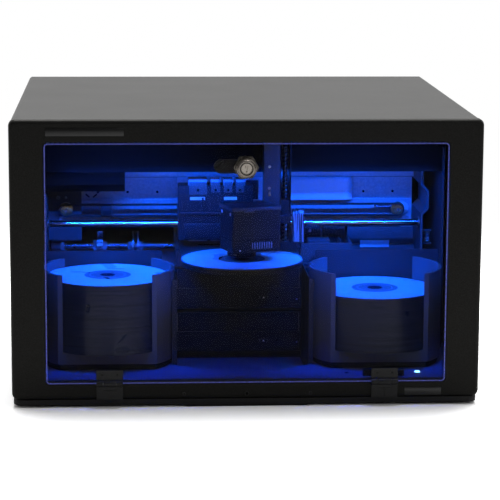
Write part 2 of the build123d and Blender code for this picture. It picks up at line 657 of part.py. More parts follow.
def printer_base():
    z0 = base_z()
    plate = block(-FRAME_X, FRAME_X, BASE_Y0, BASE_Y1, z0, z0 + BASE_T)
    wheel_slot_r = FEED_WHEEL_R + 2
    gear_slot = (FEED_GEAR_X - FEED_GEAR_W, FEED_GEAR_X + FEED_GEAR_W)
    wheel_slot = (FEED_WHEEL_X[0] - 3, FEED_WHEEL_X[1] + 3)
    for x0, x1 in (gear_slot, wheel_slot):
        plate -= block(x0, x1, FEED_Y - wheel_slot_r, FEED_Y + wheel_slot_r, z0 - 1, z0 + BASE_T + 1)
    rail_x = PRINT_TRAY_R + FIT * 4
    for sx in (-1, 1):
        rail = block(sx * rail_x, sx * (rail_x + RAIL_WALL), BASE_Y0, BASE_Y1, z0 + BASE_T,
                     PRINT_TRAY_Z + PRINT_TRAY_T)
        rail += block(sx * (rail_x - RAIL_LEDGE), sx * rail_x, BASE_Y0, BASE_Y1, z0 + BASE_T,
                      PRINT_TRAY_Z - FIT)
        plate += rail
    plate -= rod_x(-rail_x - RAIL_WALL - 1, rail_x + RAIL_WALL + 1, FEED_Y, FEED_Z, FEED_R + RUNNING)
    return plate


def printer_back_plate():
    z0, z1 = BACK_Z
    x0, x1 = BACK_X
    y0 = BACK_Y
    top_fold = 9.0
    foot_fold = 5.0
    plate = block(x0, x1, y0, y0 + BACK_T, z0, z1)
    plate += block(x0, x1, y0 - top_fold, y0, z1 - BACK_T, z1)
    plate += block(x0, x1, y0 - foot_fold, y0, z0, z0 + BACK_T)
    for sx in (-1, 1):
        foot_x = sx * (FRAME_X - 20)
        plate += block(foot_x - 8, foot_x + 8, y0, y0 + BACK_T, base_z() + BASE_T, z0)
    return plate


def end_brackets():
    """Left and right cheeks that hold the guide rod and close the ends of the mechanism."""
    return Compound(children=[left_cheek(), right_cheek()])


def left_cheek():
    """A sheet on edge with a wing that faces the front and carries the idler's cut-outs."""
    x0 = LEFT_CHEEK_X
    z0 = base_z() + BASE_T
    wing_y0 = BACK_Y - 12
    wing_y1 = BACK_Y - 10
    cheek = block(x0, x0 + CHEEK_T, ROD_Y - 10, BACK_Y, z0, LEFT_CHEEK_TOP)
    cheek += block(x0 + CHEEK_T, x0 + 36, wing_y0, wing_y1, z0, LEFT_CHEEK_TOP)
    for x, r in ((12, 2.2), (20, 1.4)):
        cheek -= rod_y(wing_y0 - 1, wing_y1 + 1, x0 + x, LEFT_CHEEK_TOP - 12, r)
    cheek -= rod_y(wing_y0 - 1, wing_y1 + 1, BELT_X[0], BELT_Z, PULLEY_R + 2)
    trapezoid = Polygon((x0 + 6, 134), (x0 + 14, 134), (x0 + 31, 122), (x0 + 6, 122), align=None)
    face = Plane(origin=(0, wing_y1 + 1, 0), x_dir=(1, 0, 0), z_dir=(0, -1, 0))
    cheek -= extrude(face * trapezoid, 5)
    gap = FEED_R + 3
    cheek -= block(x0 + 0.5, x0 + 41, FEED_Y - gap, FEED_Y + gap, FEED_Z - gap, FEED_Z + gap)
    return cheek - rod_x(x0 - 1, x0 + 6, ROD_Y, ROD_Z, ROD_R)


def right_cheek():
    """A sheet on edge with a step outwards, and the two pegs of the spring."""
    step = 6.0
    x1 = CHEEK_X + step
    z0 = base_z() + BASE_T
    profile = Polyline((CHEEK_X, z0), (CHEEK_X, 156), (x1, 162), (x1, 180), (CHEEK_X, 186),
                       (CHEEK_X, CHEEK_TOP))
    edge = Plane(origin=(0, ROD_Y - 10, 0), x_dir=(1, 0, 0), z_dir=(0, -1, 0))
    cheek = extrude(edge * trace(profile, CHEEK_T), -(BACK_Y - ROD_Y + 10))
    cheek -= rod_x(CHEEK_X - 4, x1 + 4, ROD_Y, ROD_Z, ROD_R)
    cheek -= block(CHEEK_X - 9, CHEEK_X + 5, BACK_Y - 40, BACK_Y - 28, 168, 176)
    reach = SPRING_WIRE_R + FIT + SPRING_PEG_R
    for z in (SPRING_Z - reach, SPRING_Z + SPRING_COILS * SPRING_PITCH + reach):
        cheek += rod_x(CHEEK_X + CHEEK_T / 2, SPRING_X + SPRING_R + 1, SPRING_Y, z, SPRING_PEG_R)
    return cheek


def guide_rod():
    return rod_x(LEFT_CHEEK_X, CHEEK_X + CHEEK_T / 2, ROD_Y, ROD_Z, ROD_R)


def carriage_body():
    x0, x1 = CARRIAGE_X
    y0, y1 = CARRIAGE_Y
    z0, z1 = CARRIAGE_Z
    body = block(x0, x1, y0, y1, z0, z1)
    ink_y0 = y0 + CARRIAGE_WALL
    body -= block(x0 - 1, x1 + 1, ink_y0 + INK_D + 2, y1 + 1, z0 + 32, z1 + 1)
    for x, w in ink_places():
        body -= block(x - FIT, x + w + FIT, ink_y0, ink_y0 + INK_D + 2 * FIT, z0 - 1, z1 + 1)
    body -= rod_x(x0 - 1, x1 + 1, ROD_Y, ROD_Z, ROD_R + RUNNING)
    lug_x = (x0 + x1) / 2
    lug_z = BELT_Z + PULLEY_R + 1
    return body + block(lug_x - 8, lug_x + 8, y1, BELT_Y[0] - FIT, lug_z - 4, lug_z + 4)


def ink_places():
    """Left edge and width of each cartridge in the carriage."""
    return [(CARRIAGE_X[0] + INK_SIDE + p, w) for p, w in zip(INK_PITCHES, INK_WIDTHS)]


def ink_cartridges():
    y0 = CARRIAGE_Y[0] + CARRIAGE_WALL + FIT
    tanks = []
    for x, w in ink_places():
        tank = block(x, x + w, y0, y0 + INK_D, INK_BOTTOM, INK_TOP)
        tank -= block(x + w / 2 - 1.5, x + w / 2 + 1.5, y0 - 1, y0 + 1, INK_TOP - 6, INK_TOP - 4)
        tank -= rod_x(x - 1, x + w + 1, ROD_Y, ROD_Z, ROD_R + 0.6)
        tanks.append(tank)
    return Compound(children=tanks)


def belt_loop():
    x0, x1 = BELT_X
    plane = Plane(origin=((x0 + x1) / 2, BELT_Y[0], BELT_Z), x_dir=(1, 0, 0), z_dir=(0, 1, 0))
    inner_r = PULLEY_R + FIT
    outer = SlotCenterToCenter(x1 - x0, 2 * (inner_r + BELT_T))
    inner = SlotCenterToCenter(x1 - x0, 2 * inner_r)
    return extrude(plane * (outer - inner), BELT_Y[1] - BELT_Y[0])


def belt_pulley(x):
    y0, y1 = BELT_Y
    wheel = rod_y(y0, y1, x, BELT_Z, PULLEY_R)
    wheel += rod_y(y1 + 0.2, y1 + 1.4, x, BELT_Z, PULLEY_R + 2.2)
    wheel += rod_y(y1, y1 + 0.2, x, BELT_Z, PULLEY_R)
    return wheel - rod_y(y0 - 1, y1 + 3, x, BELT_Z, PULLEY_POST_R + RUNNING)


def carriage_motor():
    """The motor behind the right pulley, and the idler's post on the left, both on the back plate."""
    right_x = BELT_X[1]
    pieces = [rod_y(BACK_Y + BACK_T, BACK_Y + BACK_T + MOTOR_D, right_x, BELT_Z, MOTOR_R)]
    for x in BELT_X:
        pieces.append(rod_y(BELT_Y[0], BACK_Y, x, BELT_Z, PULLEY_POST_R))
    return Compound(children=pieces)


def feed_shaft():
    """The tray's feed shaft with its gear, its thin wheels and the rollers under the tray."""
    x_end = PRINT_TRAY_R + 5
    shaft = rod_x(LEFT_CHEEK_X + 4, x_end, FEED_Y, FEED_Z, FEED_R)
    pieces = [shaft]
    plane = Plane(origin=(FEED_GEAR_X - FEED_GEAR_W / 2, FEED_Y, FEED_Z), x_dir=(0, 1, 0), z_dir=(1, 0, 0))
    root_r = FEED_WHEEL_R - 2.2
    tooth = Pos(root_r + 0.8, 0) * Rectangle(3.2, 1.9)
    sketch = Circle(root_r)
    for i in range(GEAR_TEETH):
        sketch += Rot(0, 0, i * 360 / GEAR_TEETH) * tooth
    gear = extrude(plane * sketch, FEED_GEAR_W)
    wheels = [gear]
    for x in FEED_WHEEL_X:
        wheels.append(rod_x(x - 0.8, x + 0.8, FEED_Y, FEED_Z, FEED_WHEEL_R))
    for x in FEED_ROLLER_X:
        wheels.append(rod_x(x - 7, x + 7, FEED_Y, FEED_Z, FEED_ROLLER_R))
    for wheel in wheels:
        pieces.append(wheel - shaft)
    return Compound(children=pieces)


def printer_tray():
    z0 = PRINT_TRAY_Z
    tray = rod_z(z0, z0 + PRINT_TRAY_T, 0, AXIS_Y, PRINT_TRAY_R)
    tray += block(-PRINT_TRAY_R, PRINT_TRAY_R, AXIS_Y, PRINT_TRAY_Y1, z0, z0 + PRINT_TRAY_T)
    tray += rod_z(z0 + PRINT_TRAY_T, z0 + PRINT_TRAY_T + 1.0, 0, AXIS_Y, DISC_BORE_R - 0.2)
    tray -= rod_z(z0 - 1, z0 + PRINT_TRAY_T + 2, 0, AXIS_Y, 4.0)
    for i in range(3):
        y = PRINT_TRAY_Y1 - 30 * (i + 1)
        tray -= block(-40, 40, y, y + 12, z0 + PRINT_TRAY_T - 1.2, z0 + PRINT_TRAY_T + 1)
    return tray


def tray_disc():
    return disc(0, AXIS_Y, PRINT_TRAY_Z + PRINT_TRAY_T + 0.1)


def carriage_flex():
    """A ribbon on edge: back along the plate, round a U at the right, and to the carriage."""
    rear_y = BACK_Y - FIT - FLEX_T / 2
    front_y = rear_y - 2 * FLEX_BEND_R
    clip_x = -60.0
    bend_x = 115.0
    z = BELT_Z + PULLEY_R + BELT_T + 3
    rear = Line((clip_x, rear_y), (bend_x, rear_y))
    turn = ThreePointArc((bend_x, rear_y), (bend_x + FLEX_BEND_R, rear_y - FLEX_BEND_R), (bend_x, front_y))
    front = Line((bend_x, front_y), (CARRIAGE_X[1] + 5, front_y))
    band = trace([rear, turn, front], FLEX_T)
    return Pos(0, 0, z) * extrude(band, FLEX_W)


def service_station():
    """The open tub beside the tray with its ink pad and wiper, and a ledge to its right."""
    wall = 3.0
    z0 = base_z() + BASE_T
    floor = z0 + 8
    x0 = PRINT_TRAY_R + 6
    x1 = x0 + 52
    tub = block(x0, x1, ROD_Y - 17, FEED_Y, z0, PRINT_TRAY_Z + 7.8)
    tub -= block(x0 + wall, x1 - wall, ROD_Y - 17 + wall, FEED_Y - wall - 1, floor, PRINT_TRAY_Z + 10)
    pad = block(x0 + 8, x0 + 30, ROD_Y - 10, ROD_Y + 14, floor, PRINT_TRAY_Z + 9.3)
    wiper = block(x1 - 12, x1 - 10.8, ROD_Y - 12, ROD_Y + 12, floor, PRINT_TRAY_Z + 9.8)
    ledge = block(x1 + 1, CHEEK_X - 1, FEED_Y - 8, FEED_Y, z0, floor)
    return Compound(children=[tub, pad, wiper, ledge])


def bracket_spring():
    """A small tension spring beside the right cheek, wound from biarcs of a quarter turn."""
    steps = SPRING_COILS * 4
    rise = SPRING_PITCH / 4
    speed = SPRING_PITCH / (2 * pi * SPRING_R)
    points = []
    tangents = []
    for i in range(steps + 1):
        a = i * pi / 2
        x = SPRING_X + SPRING_R * cos(a)
        y = SPRING_Y + SPRING_R * sin(a)
        points.append(Vector(x, y, SPRING_Z + i * rise))
        tangents.append(Vector(-sin(a), cos(a), speed).normalized())
    edges = []
    for p, q, t, u in zip(points, points[1:], tangents, tangents[1:]):
        v = q - p
        both = v.dot(t + u)
        spread = 2 * (1 - t.dot(u))
        reach = (-both + sqrt(both ** 2 + spread * v.dot(v))) / spread
        joint = (p + t * reach + q - u * reach) * 0.5
        middle_dir = (q - u * reach - p - t * reach).normalized()
        edges.append(TangentArc(p, joint, tangent=t))
        edges.append(TangentArc(joint, q, tangent=middle_dir))
    path = Wire(edges)
    section = Plane(origin=path @ 0, z_dir=path % 0) * Circle(SPRING_WIRE_R)
    coil = sweep(section, path=path)
    print("spring: least gap between its turns", round(SPRING_PITCH - 2 * SPRING_WIRE_R, 2), "mm")
    return coil


# ---- pick arm ---------------------------------------------------------------------------------
def arm_beam():
    y0, y1 = BEAM_Y
    z0, z1 = BEAM_Z
    beam = block(-FRAME_X, FRAME_X, y0, y1, z0, z1)
    beam -= block(-FRAME_X - 1, FRAME_X + 1, y0 + BEAM_WALL, y1 + 1, z0 + BEAM_WALL, z1 - BEAM_WALL)
    for sx in (-1, 1):
        ear = block(sx * (FRAME_X - 6), sx * FRAME_X, ARM_SCREW_Y - 8, y0, ARM_SCREW_Z - 8, ARM_SCREW_Z + 8)
        beam += ear - rod_x(sx * (FRAME_X - 7), sx * (FRAME_X + 1), ARM_SCREW_Y, ARM_SCREW_Z,
                            ARM_SCREW_R + RUNNING)
    return beam


def arm_screw():
    return rod_x(-FRAME_X + 0.5, FRAME_X - 0.5, ARM_SCREW_Y, ARM_SCREW_Z, ARM_SCREW_R)


def arm_carriage():
    y0, y1 = COLUMN_Y
    z0, z1 = COLUMN_Z
    column = block(*COLUMN_X, y0, y1, z0, z1)
    c0, c1 = CHANNEL_X
    channel = block(COLUMN_X[1], c1, y0 + 3, y1, z0, z1)
    channel -= block(c0 + 1, c1 - 1, y0, y1 - 4, z0 - 1, z1 - COLUMN_CAP)
    body = column + channel
    body -= rod_x(COLUMN_X[0] - 1, c1 + 1, ARM_SCREW_Y, ARM_SCREW_Z, ARM_SCREW_R + RUNNING)
    mid_x = (c0 + c1) / 2
    body -= rod_z(z1 - COLUMN_CAP - 1, z1 + 1, mid_x, LIFT_SCREW_Y, LIFT_SCREW_R + RUNNING)
    return body


def lift_screw():
    mid_x = sum(CHANNEL_X) / 2
    screw = rod_z(COLUMN_Z[0] + 1, COLUMN_Z[1] + 4, mid_x, LIFT_SCREW_Y, LIFT_SCREW_R)
    return screw + rod_z(COLUMN_Z[1] + FIT, COLUMN_Z[1] + 4, mid_x, LIFT_SCREW_Y, 4.6)


def head_plane(z):
    """The head's own frame: its front left corner, with X along its front."""
    return Plane(origin=(*HEAD_CORNER, z), x_dir=(cos(radians(HEAD_TURN)), sin(radians(HEAD_TURN)), 0),
                 z_dir=(0, 0, 1))


def gripper_head():
    z0, z1 = HEAD_Z
    outer = Pos(HEAD_W / 2, HEAD_D / 2) * RectangleRounded(HEAD_W, HEAD_D, 1.5)
    inner = Pos(HEAD_W / 2, HEAD_D / 2) * Rectangle(HEAD_W - 2 * HEAD_WALL, HEAD_D - 2 * HEAD_WALL)
    shell = extrude(head_plane(z0) * outer, z1 - z0)
    shell -= extrude(head_plane(z0 - 1) * inner, z1 - z0 - HEAD_WALL + 1)
    notch = Pos(31, 0) * Rectangle(24, 2.4)
    shell -= extrude(head_plane(z0 + 3) * notch, 7)
    floor = extrude(head_plane(z0) * inner, HEAD_WALL)
    nose = rod_z(NOSE_Z, z0, 0, AXIS_Y, NOSE_R)
    head = shell + floor + nose
    slot_half = FINGER_D / 2 + FIT
    head -= block(-12, 12, AXIS_Y - slot_half, AXIS_Y + slot_half, NOSE_Z - 1, z0 + 5 + FIT)
    mid_x = sum(CHANNEL_X) / 2
    foot = z1 - LIFT_NUT_H
    back_y = LIFT_SCREW_Y - 4
    arm_y = AXIS_Y + 4
    nut = block(mid_x - 4, mid_x + 4, back_y, LIFT_SCREW_Y + 4, foot, z1)
    nut += block(mid_x - 4, mid_x + 4, arm_y, back_y, foot, foot + 8)
    nut += block(COLUMN_X[0] + 1, mid_x + 4, arm_y, arm_y + 10, foot, foot + 8)
    nut -= rod_z(z0, z1 + 1, mid_x, LIFT_SCREW_Y, LIFT_SCREW_R + RUNNING)
    hollow = extrude(head_plane(z0) * inner, z1 - z0)
    return head + (nut - hollow)


def gripper_finger(side):
    """One of the two fingers that spread in the disc's bore, with its slide in the nose."""
    z0 = HEAD_Z[0]
    half = FINGER_D / 2
    finger = block(side, side * (1 + FINGER_W), AXIS_Y - half, AXIS_Y + half, FINGER_Z, z0 + 5)
    finger += block(side, side * 9.0, AXIS_Y - half, AXIS_Y + half, z0 + 2, z0 + 5)
    return finger


def arm_flex():
    """The gripper's ribbon beside the column: up, over a curl and down again."""
    bend_r = 6.0
    top = 165.0
    foot = 146.0
    rear_y = COLUMN_Y[1] - 11.7
    front_y = rear_y - 2 * bend_r
    x0, x1 = ARM_FLEX_X
    plane = Plane(origin=(x0, 0, 0), x_dir=(0, 1, 0), z_dir=(1, 0, 0))
    front = Line((front_y, foot - 8), (front_y, top))
    turn = ThreePointArc((front_y, top), (rear_y - bend_r, top + bend_r), (rear_y, top))
    rear = Line((rear_y, top), (rear_y, foot))
    band = trace([front, turn, rear], FLEX_T)
    ribbon = extrude(plane * band, x1 - x0)
    clip = block(CHANNEL_X[1], x1, rear_y + FLEX_T / 2, rear_y + 4, foot, foot + 6)
    return Compound(children=[ribbon, clip])


# ---- electrics --------------------------------------------------------------------------------
def power_supply():
    x0 = SUPPLY_GAP - FRAME_X
    z0, z1 = SUPPLY_Z
    box = block(x0, x0 + SUPPLY_W, BEAM_Y[1], BACK_Y - 9.5, z0, z1)
    front_edge = box.faces().sort_by(Axis.Z)[0].edges().sort_by(Axis.Y)[0]
    bracket = block(-FRAME_X, x0, ROD_Y - 12, ROD_Y + 38, z0 + 18.2, z1 - 20)
    return chamfer(front_edge, 8.0) + bracket


def control_board():
    """A circuit board on four posts, with its four tallest parts."""
    x0 = BOARD_GAP - FRAME_X
    y0 = DRIVE_Y + 10
    top = PAN_TOP + BOARD_POST + BOARD_T
    corner = 6.0
    pieces = [block(x0, x0 + BOARD_W, y0, y0 + BOARD_D, top - BOARD_T, top)]
    for x in (x0 + corner, x0 + BOARD_W - corner):
        for y in (y0 + corner, y0 + BOARD_D - corner):
            pieces.append(rod_z(PAN_TOP, top - BOARD_T, x, y, 3))
    for x, y, w, d, h in BOARD_PARTS:
        pieces.append(block(x0 + x, x0 + x + w, y0 + y, y0 + y + d, top, top + h))
    return Compound(children=pieces)


def led_strips():
    """Two boards under the top of the bezel, each with a row of lamps on its underside."""
    strips = []
    x0, x1 = LED_X
    end = 12.0
    y0 = FRONT_Y + BEZEL_WALL
    for sx in (-1, 1):
        board = block(sx * x0, sx * x1, y0, LED_Y, LED_Z, LED_Z + LED_BOARD_T)
        for i in range(LED_COUNT):
            x = sx * (x0 + end + i * (x1 - x0 - 2 * end) / (LED_COUNT - 1))
            board += block(x - 2.5, x + 2.5, y0 + 5, y0 + 8, LED_Z - 1.4, LED_Z)
        strips.append(board)
    return Compound(children=strips)


def power_button():
    top = DECK_TOP + BUTTON_PROUD
    cap = rod_z(top - BUTTON_H, top, BUTTON_X, BUTTON_Y, BUTTON_R)
    return fillet(cap.faces().sort_by(Axis.Z)[-1].edges(), 0.6)


def door_switch():
    x0, x1 = SWITCH_X
    y0, y1 = SWITCH_Y
    body = block(x0, x1, y0, y1, DECK_TOP, DECK_TOP + SWITCH_H)
    return body + block(x0 + 12, x0 + 16, y0 - 4, y0, DECK_TOP + 2, DECK_TOP + 4)


def fan_frame():
    """The fan's square frame with its motor boss and spokes, and the wire guard behind the panel."""
    y1 = REAR_Y - REAR_WALL
    y0 = y1 - FAN_T
    half = FAN_SIZE / 2
    bore_r = half - 1.5
    spoke = 2.0
    frame = block(FAN_X - half, FAN_X + half, y0, y1, FAN_Z - half, FAN_Z + half)
    frame -= rod_y(y0 - 1, y1 + 1, FAN_X, FAN_Z, bore_r)
    frame += rod_y(y0, y0 + spoke, FAN_X, FAN_Z, 12)
    for turn in (45, 135):
        frame += Pos(FAN_X, y0 + spoke / 2, FAN_Z) * Rot(0, turn, 0) * Box(2 * bore_r + 1, spoke, 3)
    frame += rod_y(y0 + spoke, y0 + 9, FAN_X, FAN_Z, FAN_SHAFT_R)
    return Compound(children=[frame, fan_guard()])


def fan_guard():
    wire = 2.0
    y1 = REAR_Y + PROJECTION
    half = FAN_SIZE / 2
    guard = guard_ring(y1 - wire, y1, half, wire) + guard_ring(y1 - wire, y1, 18, wire)
    for turn in (0, 45, 90, 135):
        guard += Pos(FAN_X, y1 - wire / 2, FAN_Z) * Rot(0, turn, 0) * Box(FAN_SIZE - wire, wire, wire)
    reach = (half - wire / 2) / sqrt(2)
    for sx in (-1, 1):
        for sz in (-1, 1):
            guard += rod_y(REAR_Y, y1, FAN_X + sx * reach, FAN_Z + sz * reach, 1.6)
    return guard


def guard_ring(y0, y1, r, wire):
    return rod_y(y0, y1, FAN_X, FAN_Z, r) - rod_y(y0 - 1, y1 + 1, FAN_X, FAN_Z, r - wire)


def fan_rotor():
    y0 = REAR_Y - REAR_WALL - FAN_T + 3
    hub = rod_y(y0, y0 + 10, FAN_X, FAN_Z, 11)
    for i in range(FAN_BLADES):
        blade = Pos(18.5, 0, 0) * Rot(35, 0, 0) * Box(17, 1.2, 12)
        hub += Pos(FAN_X, y0 + 5, FAN_Z) * Rot(0, i * 360 / FAN_BLADES, 0) * blade
    return hub - rod_y(y0 - 1, y0 + 7, FAN_X, FAN_Z, FAN_SHAFT_R + RUNNING)


def socket_block(x, size, y0, y1):
    """A block as wide and high as the given size, on the line of the rear sockets."""
    w, h = size
    return block(x - w / 2, x + w / 2, y0, y1, SOCKET_Z - h / 2, SOCKET_Z + h / 2)


def rear_sockets():
    y0 = REAR_Y - REAR_WALL
    inlet = socket_block(SOCKET_X, INLET_BODY, y0 - INLET_DEPTH - 4, REAR_Y + 1.5)
    inlet += socket_block(SOCKET_X, INLET_FACE, REAR_Y, REAR_Y + 2)
    inlet -= socket_block(SOCKET_X, INLET_MOUTH, REAR_Y - INLET_DEPTH, REAR_Y + 3)
    for dx, dz in ((0, 3), (-6.5, -2), (6.5, -2)):
        x = SOCKET_X + dx
        z = SOCKET_Z + dz
        inlet += block(x - 1, x + 1, REAR_Y - INLET_DEPTH, REAR_Y - 4, z - 2, z + 2)
    data_x = SOCKET_X + DATA_PITCH
    data = socket_block(data_x, DATA_BODY, y0 - DATA_DEPTH - 6, REAR_Y + 0.6)
    data -= socket_block(data_x, DATA_MOUTH, REAR_Y - DATA_DEPTH, REAR_Y + 1)
    data += socket_block(data_x, (5.2, 3.2), REAR_Y - DATA_DEPTH, REAR_Y - 1)
    foot = block(data_x - 6, data_x + 6, y0 - DATA_DEPTH - 6, y0 - FIT, PAN_TOP, SOCKET_Z - DATA_BODY[1] / 2)
    return Compound(children=[inlet, data + foot])


def model():
    return {
        "base_pan": base_pan(),
        "plinth": plinth(),
        "feet": feet(),
        "case_cover": case_cover(),
        "front_bezel": front_bezel(),
        "rear_panel": rear_panel(),
        "case_screws": case_screws(),
        "door_panel": door_panel(),
        "hinge_door_leaves": hinge_door_leaves(),
        "hinge_frame_leaves": hinge_frame_leaves(),
        "hinge_pins": hinge_pins(),
        "lock_body": lock_body(),
        "lock_plug": lock_plug(),
        "deck_plate": deck_plate(),
        "chute_walls": chute_walls(),
        "bin_seats": bin_seats(),
        "left_bin": disc_bin(-BIN_X),
        "right_bin": disc_bin(BIN_X),
        "left_disc_stack": disc_stack(-BIN_X, LEFT_DISCS),
        "right_disc_stack": disc_stack(BIN_X, RIGHT_DISCS),
        "inner_panels": inner_panels(),
        "drive_cage": drive_cage(),
        "drive_bodies": drive_bodies(),
        "drive_bezels": drive_bezels(),
        "upper_drive_tray": drive_tray(1),
        "lower_drive_tray": drive_tray(0),
        "upper_eject_button": eject_button(1),
        "lower_eject_button": eject_button(0),
        "printer_base": printer_base(),
        "printer_back_plate": printer_back_plate(),
        "end_brackets": end_brackets(),
        "guide_rod": guide_rod(),
        "carriage_body": carriage_body(),
        "ink_cartridges": ink_cartridges(),
        "carriage_belt": belt_loop(),
        "carriage_idler_pulley": belt_pulley(BELT_X[0]),
        "carriage_drive_pulley": belt_pulley(BELT_X[1]),
        "carriage_motor": carriage_motor(),
        "feed_shaft": feed_shaft(),
        "printer_tray": printer_tray(),
        "tray_disc": tray_disc(),
        "carriage_flex": carriage_flex(),
        "service_station": service_station(),
        "bracket_spring": bracket_spring(),
        "arm_beam": arm_beam(),
        "arm_screw": arm_screw(),
        "arm_carriage": arm_carriage(),
        "lift_screw": lift_screw(),
        "gripper_head": gripper_head(),
        "gripper_finger_left": gripper_finger(-1),
        "gripper_finger_right": gripper_finger(1),
        "arm_flex": arm_flex(),
        "power_supply": power_supply(),
        "control_board": control_board(),
        "led_strips": led_strips(),
        "power_button": power_button(),
        "door_switch": door_switch(),
        "fan_frame": fan_frame(),
        "fan_rotor": fan_rotor(),
        "rear_sockets": rear_sockets(),
    }


os.makedirs("parts", exist_ok=True)
for node, shape in model().items():
    export_step(shape, f"parts/{node}.step")
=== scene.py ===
import math

import bmesh
import bpy
from bpy.props import FloatProperty, FloatVectorProperty, PointerProperty
from mathutils import Matrix, Vector


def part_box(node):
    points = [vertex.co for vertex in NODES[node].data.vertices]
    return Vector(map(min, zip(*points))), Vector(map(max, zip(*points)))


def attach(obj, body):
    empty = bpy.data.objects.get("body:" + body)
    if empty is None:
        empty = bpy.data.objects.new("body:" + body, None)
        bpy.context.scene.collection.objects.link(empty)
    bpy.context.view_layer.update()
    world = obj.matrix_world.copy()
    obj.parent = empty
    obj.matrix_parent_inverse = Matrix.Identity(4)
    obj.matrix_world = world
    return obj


bl_info = {
    "name": "Disc label printer finish",
    "version": (1, 0, 0),
    "blender": (4, 5, 0),
    "location": "View3D > Sidebar > Disc printer",
    "description": "Finishes, small parts and studio for the desktop disc label printer",
    "category": "Object",
}

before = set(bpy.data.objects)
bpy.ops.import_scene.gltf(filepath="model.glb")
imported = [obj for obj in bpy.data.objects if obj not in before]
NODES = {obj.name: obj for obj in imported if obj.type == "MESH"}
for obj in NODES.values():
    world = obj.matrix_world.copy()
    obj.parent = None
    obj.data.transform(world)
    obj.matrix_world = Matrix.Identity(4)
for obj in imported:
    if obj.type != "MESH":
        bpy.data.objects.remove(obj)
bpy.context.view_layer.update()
MM = 0.001
AXES = {"X": Vector((1, 0, 0)), "Y": Vector((0, 1, 0)), "Z": Vector((0, 0, 1))}
WHITE = (1.0, 1.0, 1.0)

# the photograph's camera, fitted to the case's corners: place in metres, turns in degrees, sensor in mm
CAMERA_PLACE = (-0.11152, -2.18462, 0.50367)
CAMERA_YAW = 3.31439
CAMERA_PITCH = 10.12338
CAMERA_ROLL = 0.28335
SENSOR_WIDTH = 36.0


# ---- places read from the frame ------------------------------------------------------------------
def low(node):
    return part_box(node)[0]


def high(node):
    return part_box(node)[1]


def middle(node):
    a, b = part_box(node)
    return (a + b) / 2


def mm(x, y, z):
    """A point or a size given in millimetres."""
    return Vector((x, y, z)) * MM


# ---- settings a user would change ----------------------------------------------------------------
def colour_setting(name, description, default):
    return FloatVectorProperty(name=name, description=description, subtype="COLOR", size=3,
                               min=0.0, max=1.0, default=default)


class CaseSettings(bpy.types.PropertyGroup):
    """Colours of the case and its door"""

    paint: colour_setting("Paint", "Powder coat of the case", (0.0085, 0.0084, 0.0082))
    paint_light: colour_setting("Paint, light", "High grains of the powder coat", (0.0155, 0.0153, 0.0148))
    skirt: colour_setting("Skirt", "Moulded skirt under the case", (0.012, 0.012, 0.013))
    acrylic: colour_setting("Window", "Tint of the smoked window", (0.0006, 0.0006, 0.0012))
    window_alpha: FloatProperty(name="Window density", description="How much of the view the window hides",
                                min=0.0, max=1.0, default=0.24)
    # painted light: the chamber lamps' light caught in the window's edge, given as a glow the edge band emits
    painted_edge_glow: colour_setting("Window edge", "Lamp light caught in the window's edge", (0.11, 0.14, 0.70))


class ChamberSettings(bpy.types.PropertyGroup):
    """Colours of what stands in the chamber, and its blue lamps"""

    bin: colour_setting("Bins", "Moulded grey of the two disc bins", (0.115, 0.115, 0.125))
    lamp: colour_setting("Lamps", "Light of the chamber lamps", (0.003, 0.088, 1.0))
    lamp_power: FloatProperty(name="Lamp power", description="Power of each lamp strip in watts",
                              min=0.0, default=1.0)
    printer_lamp_power: FloatProperty(name="Printer lamp", min=0.0, default=0.48,
                                      description="Power of the lamp strip over the printer in watts")
    disc: colour_setting("Disc face", "White printable face of the discs", (0.80, 0.80, 0.82))
    disc_edge: colour_setting("Disc edge", "Clear rim of the discs", (0.012, 0.018, 0.036))


class StudioSettings(bpy.types.PropertyGroup):
    """Floor, lamps and camera"""

    floor_size: FloatProperty(name="Floor size", description="Side of the square floor", subtype="DISTANCE",
                              unit="LENGTH", min=0.0, default=14.0)
    overhead_power: FloatProperty(name="Overhead lamp", description="Power of the big soft lamp in watts",
                                  min=0.0, default=31.0)
    fill_power: FloatProperty(name="Front lamp", description="Power of the soft front lamp in watts",
                              min=0.0, default=2.0)
    focal_length: FloatProperty(name="Focal length", description="Camera focal length in millimetres",
                                min=1.0, default=153.62)


def settings():
    scene = bpy.context.scene
    return scene.printer_case, scene.printer_chamber, scene.printer_studio


# ---- shader nodes --------------------------------------------------------------------------------
def give(node, values):
    """Sets or links the inputs of a node."""
    for key, value in values.items():
        if isinstance(value, bpy.types.NodeSocket):
            node.id_data.links.new(value, node.inputs[key])
        else:
            node.inputs[key].default_value = value


def add(tree, kind, values=None, **attributes):
    """A node with its attributes set, and its inputs set or linked."""
    node = tree.nodes.new(kind)
    for key, value in attributes.items():
        setattr(node, key, value)
    give(node, values or {})
    return node


def arithmetic(tree, operation, *terms, clamp=False):
    """One step of arithmetic on one or two numbers."""
    values = dict(enumerate(terms))
    return add(tree, "ShaderNodeMath", values, operation=operation, use_clamp=clamp).outputs[0]


def vector_step(tree, operation, first, second):
    return add(tree, "ShaderNodeVectorMath", {0: first, 1: second}, operation=operation).outputs[0]


def ranged(tree, value, low_value, high_value, from_low=0.0, from_high=1.0):
    values = {"Value": value, "From Min": from_low, "From Max": from_high,
              "To Min": low_value, "To Max": high_value}
    return add(tree, "ShaderNodeMapRange", values).outputs[0]


def object_place(tree):
    """The point on the surface, in the printer's frame."""
    return add(tree, "ShaderNodeTexCoord").outputs["Object"]


def along_axis(tree, vector, axis):
    return add(tree, "ShaderNodeSeparateXYZ", {0: vector}).outputs[axis]


def facing_up(tree):
    """1 on a face that looks up, -1 on one that looks down."""
    return along_axis(tree, add(tree, "ShaderNodeNewGeometry").outputs["Normal"], "Z")


